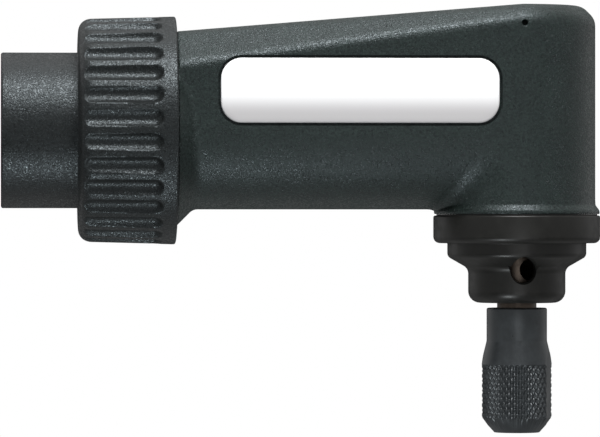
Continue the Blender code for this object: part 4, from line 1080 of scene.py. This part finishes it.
class ATTACHMENT_OT_spindle(bpy.types.Operator):
    """Turns the output spindle and the slotted collet"""

    bl_idname = "attachment.spindle"
    bl_label = "Spindle and Collet"

    def execute(self, context):
        loop = soft_corners([
            (0.0, -28.4), (2.45, -28.4), (2.45, -38.6), (3.27, -38.6), (3.57, -38.3),
            (3.57, -27.4), (2.876, -27.4), (2.876, -22.9), (3.9, -22.9, 0.15), (3.9, -15.7, 0.15),
            (2.92, -15.7), (2.92, -10.25), (2.52, -10.25), (2.52, -9.35), (2.92, -9.35),
            (2.92, -6.6), (2.42, -6.6), (2.42, 13.8, 0.2), (0.0, 13.8),
        ], 3)
        side = heading(-65.0) * 5
        middle = Vector((0.0, 0.0, LOCK_HOLE_Z))
        mesh = carve("spindle_turned", lathe_mesh("spindle_turned", loop, 96, closed=False), [
            rod(middle - side, middle + side, 1.65, 40),
            rod((-5.6, 0.0, 7.75), (5.6, 0.0, 7.75), PIN_HOLE_R, 20),
        ])
        skin = metal_finish("brown_steel", context.scene.attachment_colours.brown_steel, 0.55,
                            0.85, (0.28, 0.44), RINGS_Z, 0.6, 0.3, 0.6)
        place_piece("spindle_turned", moved(mesh, HEAD_X), skin, "output_drive",
                    ["output_spindle"], 35)

        low, high = -41.7, -28.5
        loop = soft_corners([
            (1.6, low, 0.12), (1.95, low, 0.12), (2.35, low + 2.8, 0.3), (2.35, high, 0.3),
            (1.6, high, 0.2),
        ], 4)
        mesh = carve("collet_slotted", lathe_mesh("collet_slotted", loop, 72), [
            slab((-3.4, -0.25, low - 1.0), (3.4, 0.25, high - 2.6), math.radians(turn_deg))
            for turn_deg in (7.5, 97.5)
        ])
        skin = metal_finish("spring_steel_collet", (0.16, 0.16, 0.17), (0.06, 0.06, 0.065), 0.9,
                            (0.25, 0.42), RINGS_Z)
        place_piece("collet_slotted", moved(mesh, HEAD_X), skin, "collet_body", ["collet"],
                    35)
        return {"FINISHED"}


class ATTACHMENT_OT_drive_socket(bpy.types.Operator):
    """Turns the drive socket and broaches its hexagon"""

    bl_idname = "attachment.drive_socket"
    bl_label = "Drive Socket"

    def execute(self, context):
        loop = soft_corners([
            (3.0, 13.95), (5.2, 13.95, 0.4), (5.2, 22.95, 0.3), (3.0, 22.95),
        ], 4)
        mesh = carve("socket_turned", lathe_mesh("socket_turned", loop, 96), [
            rod((0, 0, 12.95), (0, 0, 18.95), 6.35 / math.sqrt(3), 6),
            rod((0, 0, 13.6), (0, 0, 14.5), 4.3, 64, 3.4),
            rod((-7.0, 0, 21.25), (7.0, 0, 21.25), PIN_HOLE_R, 20),
        ])
        skin = metal_finish("spring_steel_socket", (0.16, 0.16, 0.17), (0.07, 0.07, 0.075), 0.9,
                            (0.28, 0.45), (500.0, 500.0, 8000.0))
        place_piece("socket_turned", moved(mesh, along_x=True), skin, "input_drive",
                    ["drive_socket"], 35)
        return {"FINISHED"}


class ATTACHMENT_OT_inner_finishes(bpy.types.Operator):
    """Gives the shafts, gears, bearings, rings and seals their finishes"""

    bl_idname = "attachment.inner_finishes"
    bl_label = "Inner Finishes"

    def execute(self, context):
        brown = context.scene.attachment_colours.brown_steel
        steel, worn_steel = (0.55, 0.55, 0.56), (0.36, 0.36, 0.37)
        # Each finish goes to the nodes whose names hold one of its words, the first that fits
        rules = [(words, metal_finish(*row)) for words, *row in (
            (("o_ring", "seal"), "seal_rubber", (0.012, 0.012, 0.012), (0.03, 0.03, 0.03), 0.0,
             (0.6, 0.8), (3000.0, 3000.0, 3000.0)),
            (("cage",), "pressed_brass", (0.60, 0.42, 0.18), (0.42, 0.27, 0.10), 1.0,
             (0.26, 0.42), (2200.0, 2200.0, 2200.0)),
            (("circlip", "pin", "snap"), "spring_steel", (0.16, 0.16, 0.17), (0.08, 0.08, 0.09),
             0.9, (0.3, 0.45), (1500.0, 1500.0, 1500.0)),
            (("spacer",), "brown_spacer", brown, 0.5, 0.85, (0.3, 0.45), RINGS_X),
            (("bevel",), "gear_steel", (0.42, 0.42, 0.43), (0.24, 0.22, 0.2), 1.0, (0.26, 0.40),
             (2600.0, 2600.0, 2600.0)),
            (("upper", "lower"), "ground_steel_z", steel, worn_steel, 1.0, (0.18, 0.32), RINGS_Z),
            (("shaft", "rear", "front"), "ground_steel_x", steel, worn_steel, 1.0, (0.18, 0.32),
             RINGS_X),
        )]
        replaced = {"coupling_nut", "gear_housing", "nameplate", "bearing_cap", "collet_nut",
                    "output_spindle", "collet", "drive_socket"}
        for name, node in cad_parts.items():
            if name in replaced:
                continue
            chosen = next((skin for words, skin in rules
                           if any(word in name for word in words)), None)
            if chosen is None:
                raise RuntimeError("no finish for " + name)
            if not node.material_slots:
                node.data.materials.append(None)
            for slot in node.material_slots:
                slot.link = "OBJECT"
                slot.material = chosen
        return {"FINISHED"}


# Floor, light and camera


def background_share(tree):
    """1 for what the camera, a reflection or a look through glass sees of the background."""
    path = tree.add("ShaderNodeLightPath").outputs
    seen = tree.math("MAXIMUM", path["Is Camera Ray"], path["Is Glossy Ray"])
    return tree.math("MAXIMUM", seen, path["Is Transmission Ray"])


def floor_finish(name):
    """White where it is far away, and near the object a matt white that takes its shadow."""
    material, tree, shader = new_material(name)
    nodes = tree.tree.nodes
    nodes.remove(shader)
    where = tree.place()
    away = tree.add("ShaderNodeVectorMath", {0: where}, operation="LENGTH").outputs["Value"]
    far = tree.spread(away, 3.0, 6.0, 0.42, 1.0, interpolation_type="SMOOTHSTEP")
    pale = tree.spread(tree.noise(where, 120.0, 3.0), 0.0, 1.0, 0.70, 0.76)
    paper = tree.add("ShaderNodeBsdfDiffuse", {"Color": pale}).outputs["BSDF"]
    glow = tree.add("ShaderNodeEmission", {
        "Color": (1.0, 1.0, 1.0, 1.0), "Strength": 1.0,
    }).outputs["Emission"]
    share = tree.times(far, background_share(tree))
    mixed = tree.add("ShaderNodeMixShader", {0: share, 1: paper, 2: glow}).outputs["Shader"]
    tree.link(mixed, nodes["Material Output"].inputs["Surface"])
    return material


def aimed(name, data, place, target):
    """A light or camera in its place, looking at a target."""
    holder = bpy.data.objects.new(name, data)
    bpy.context.scene.collection.objects.link(holder)
    holder.location = place
    holder.rotation_euler = (target - place).to_track_quat("-Z", "Y").to_euler()
    return holder


def soft_light(name, watts, size, place, target, tint=(1.0, 1.0, 1.0)):
    lamp = bpy.data.lights.new(name, "AREA")
    lamp.energy = watts
    lamp.shape = "RECTANGLE"
    lamp.size, lamp.size_y = size
    lamp.color = tint
    aimed(name, lamp, place, target).visible_camera = False


class ATTACHMENT_OT_stage(bpy.types.Operator):
    """Sets up the floor, the soft light and the camera"""

    bl_idname = "attachment.stage"
    bl_label = "Stage"

    def execute(self, context):
        scene = context.scene
        stage = scene.attachment_stage
        low, high = CAD_BOX
        middle = (low + high) / 2
        floor_z = low.z - stage.floor_drop
        bm = bmesh.new()
        bmesh.ops.create_grid(bm, x_segments=24, y_segments=24, size=6.0)
        mesh = mesh_of("floor", bm)
        floor = helper_object("floor", mesh)
        floor.location = (middle.x, 0.0, floor_z)
        mesh.materials.append(floor_finish("floor_white"))

        world = bpy.data.worlds.new("room")
        scene.world = world
        world.use_nodes = True
        tree = Tree(world.node_tree)
        sky = world.node_tree.nodes["Background"]
        strength = tree.spread(background_share(tree), 0.0, 1.0, stage.sky, 1.0)
        sky.inputs["Color"].default_value = (1.0, 1.0, 1.0, 1.0)
        tree.link(strength, sky.inputs["Strength"])

        aim = Vector((0.04352, 0.0, -0.0128))
        turn = stage.camera_turn

        def around(distance, height_deg, side_deg=0.0, middle=aim):
            up = math.radians(height_deg)
            about = turn + math.radians(side_deg)
            return middle + distance * Vector((math.sin(about) * math.cos(up),
                                               -math.cos(about) * math.cos(up), math.sin(up)))

        soft_light("top_light", stage.top_power, (0.20, 0.28), around(0.52, 63.0, 8.0), aim)
        soft_light("back_light", stage.back_power, (0.34, 0.22), around(0.50, 106.0), aim)
        head = Vector((HEAD_X * MM, 0.0, -0.002))
        soft_light("front_light", stage.front_power, (0.06, 0.10),
                   around(0.16, -24.0, 3.0, head), head)
        sleeve = Vector((0.006, 0.0, 0.0))
        soft_light("low_light", stage.low_power, (0.05, 0.04),
                   around(0.24, -57.0, 0.0, sleeve), sleeve, (0.92, 0.98, 1.0))

        camera = bpy.data.cameras.new("camera")
        camera.lens = stage.lens
        camera.sensor_width = 36.0
        camera.clip_start = 0.05
        camera.clip_end = 20.0
        scene.camera = aimed("camera", camera, around(stage.camera_distance, 0.0), aim)
        scene.view_settings.view_transform = "Standard"
        return {"FINISHED"}


class ATTACHMENT_PT_panel(bpy.types.Panel):
    """Lists the attachment's pieces and their sizes in the sidebar"""

    bl_idname = "ATTACHMENT_PT_panel"
    bl_label = "Right Angle Attachment"
    bl_space_type = "VIEW_3D"
    bl_region_type = "UI"
    bl_category = "Attachment"

    def draw(self, context):
        layout = self.layout
        for operator in OPERATORS:
            layout.operator(operator.bl_idname)
        for name, settings in SETTINGS.items():
            box = layout.box()
            box.label(text=name.split("_")[1].title())
            for setting in settings.__annotations__:
                box.prop(getattr(context.scene, name), setting)


OPERATORS = (
    ATTACHMENT_OT_coupling_nut,
    ATTACHMENT_OT_gear_case,
    ATTACHMENT_OT_badge,
    ATTACHMENT_OT_bearing_cap,
    ATTACHMENT_OT_collet_nut,
    ATTACHMENT_OT_spindle,
    ATTACHMENT_OT_drive_socket,
    ATTACHMENT_OT_inner_finishes,
    ATTACHMENT_OT_stage,
)
SETTINGS = {
    "attachment_coupling": CouplingSizes,
    "attachment_case": CaseSizes,
    "attachment_nut": ColletNutSizes,
    "attachment_colours": FinishColours,
    "attachment_stage": StageSettings,
}
SHARED = {}


def register():
    for settings in SETTINGS.values():
        bpy.utils.register_class(settings)
    for name, settings in SETTINGS.items():
        setattr(bpy.types.Scene, name, bpy.props.PointerProperty(type=settings))
    for operator in OPERATORS:
        bpy.utils.register_class(operator)
    bpy.utils.register_class(ATTACHMENT_PT_panel)


def unregister():
    bpy.utils.unregister_class(ATTACHMENT_PT_panel)
    for operator in reversed(OPERATORS):
        bpy.utils.unregister_class(operator)
    for name in SETTINGS:
        delattr(bpy.types.Scene, name)
    for settings in reversed(list(SETTINGS.values())):
        bpy.utils.unregister_class(settings)


def main():
    register()
    SHARED["grain"] = moulded_grain_group()
    SHARED["metal"] = worn_metal_group()
    bpy.ops.attachment.coupling_nut()
    bpy.ops.attachment.gear_case()
    bpy.ops.attachment.badge()
    bpy.ops.attachment.bearing_cap()
    bpy.ops.attachment.collet_nut()
    bpy.ops.attachment.spindle()
    bpy.ops.attachment.drive_socket()
    bpy.ops.attachment.inner_finishes()
    bpy.ops.attachment.stage()


if __name__ == "__main__":
    main()
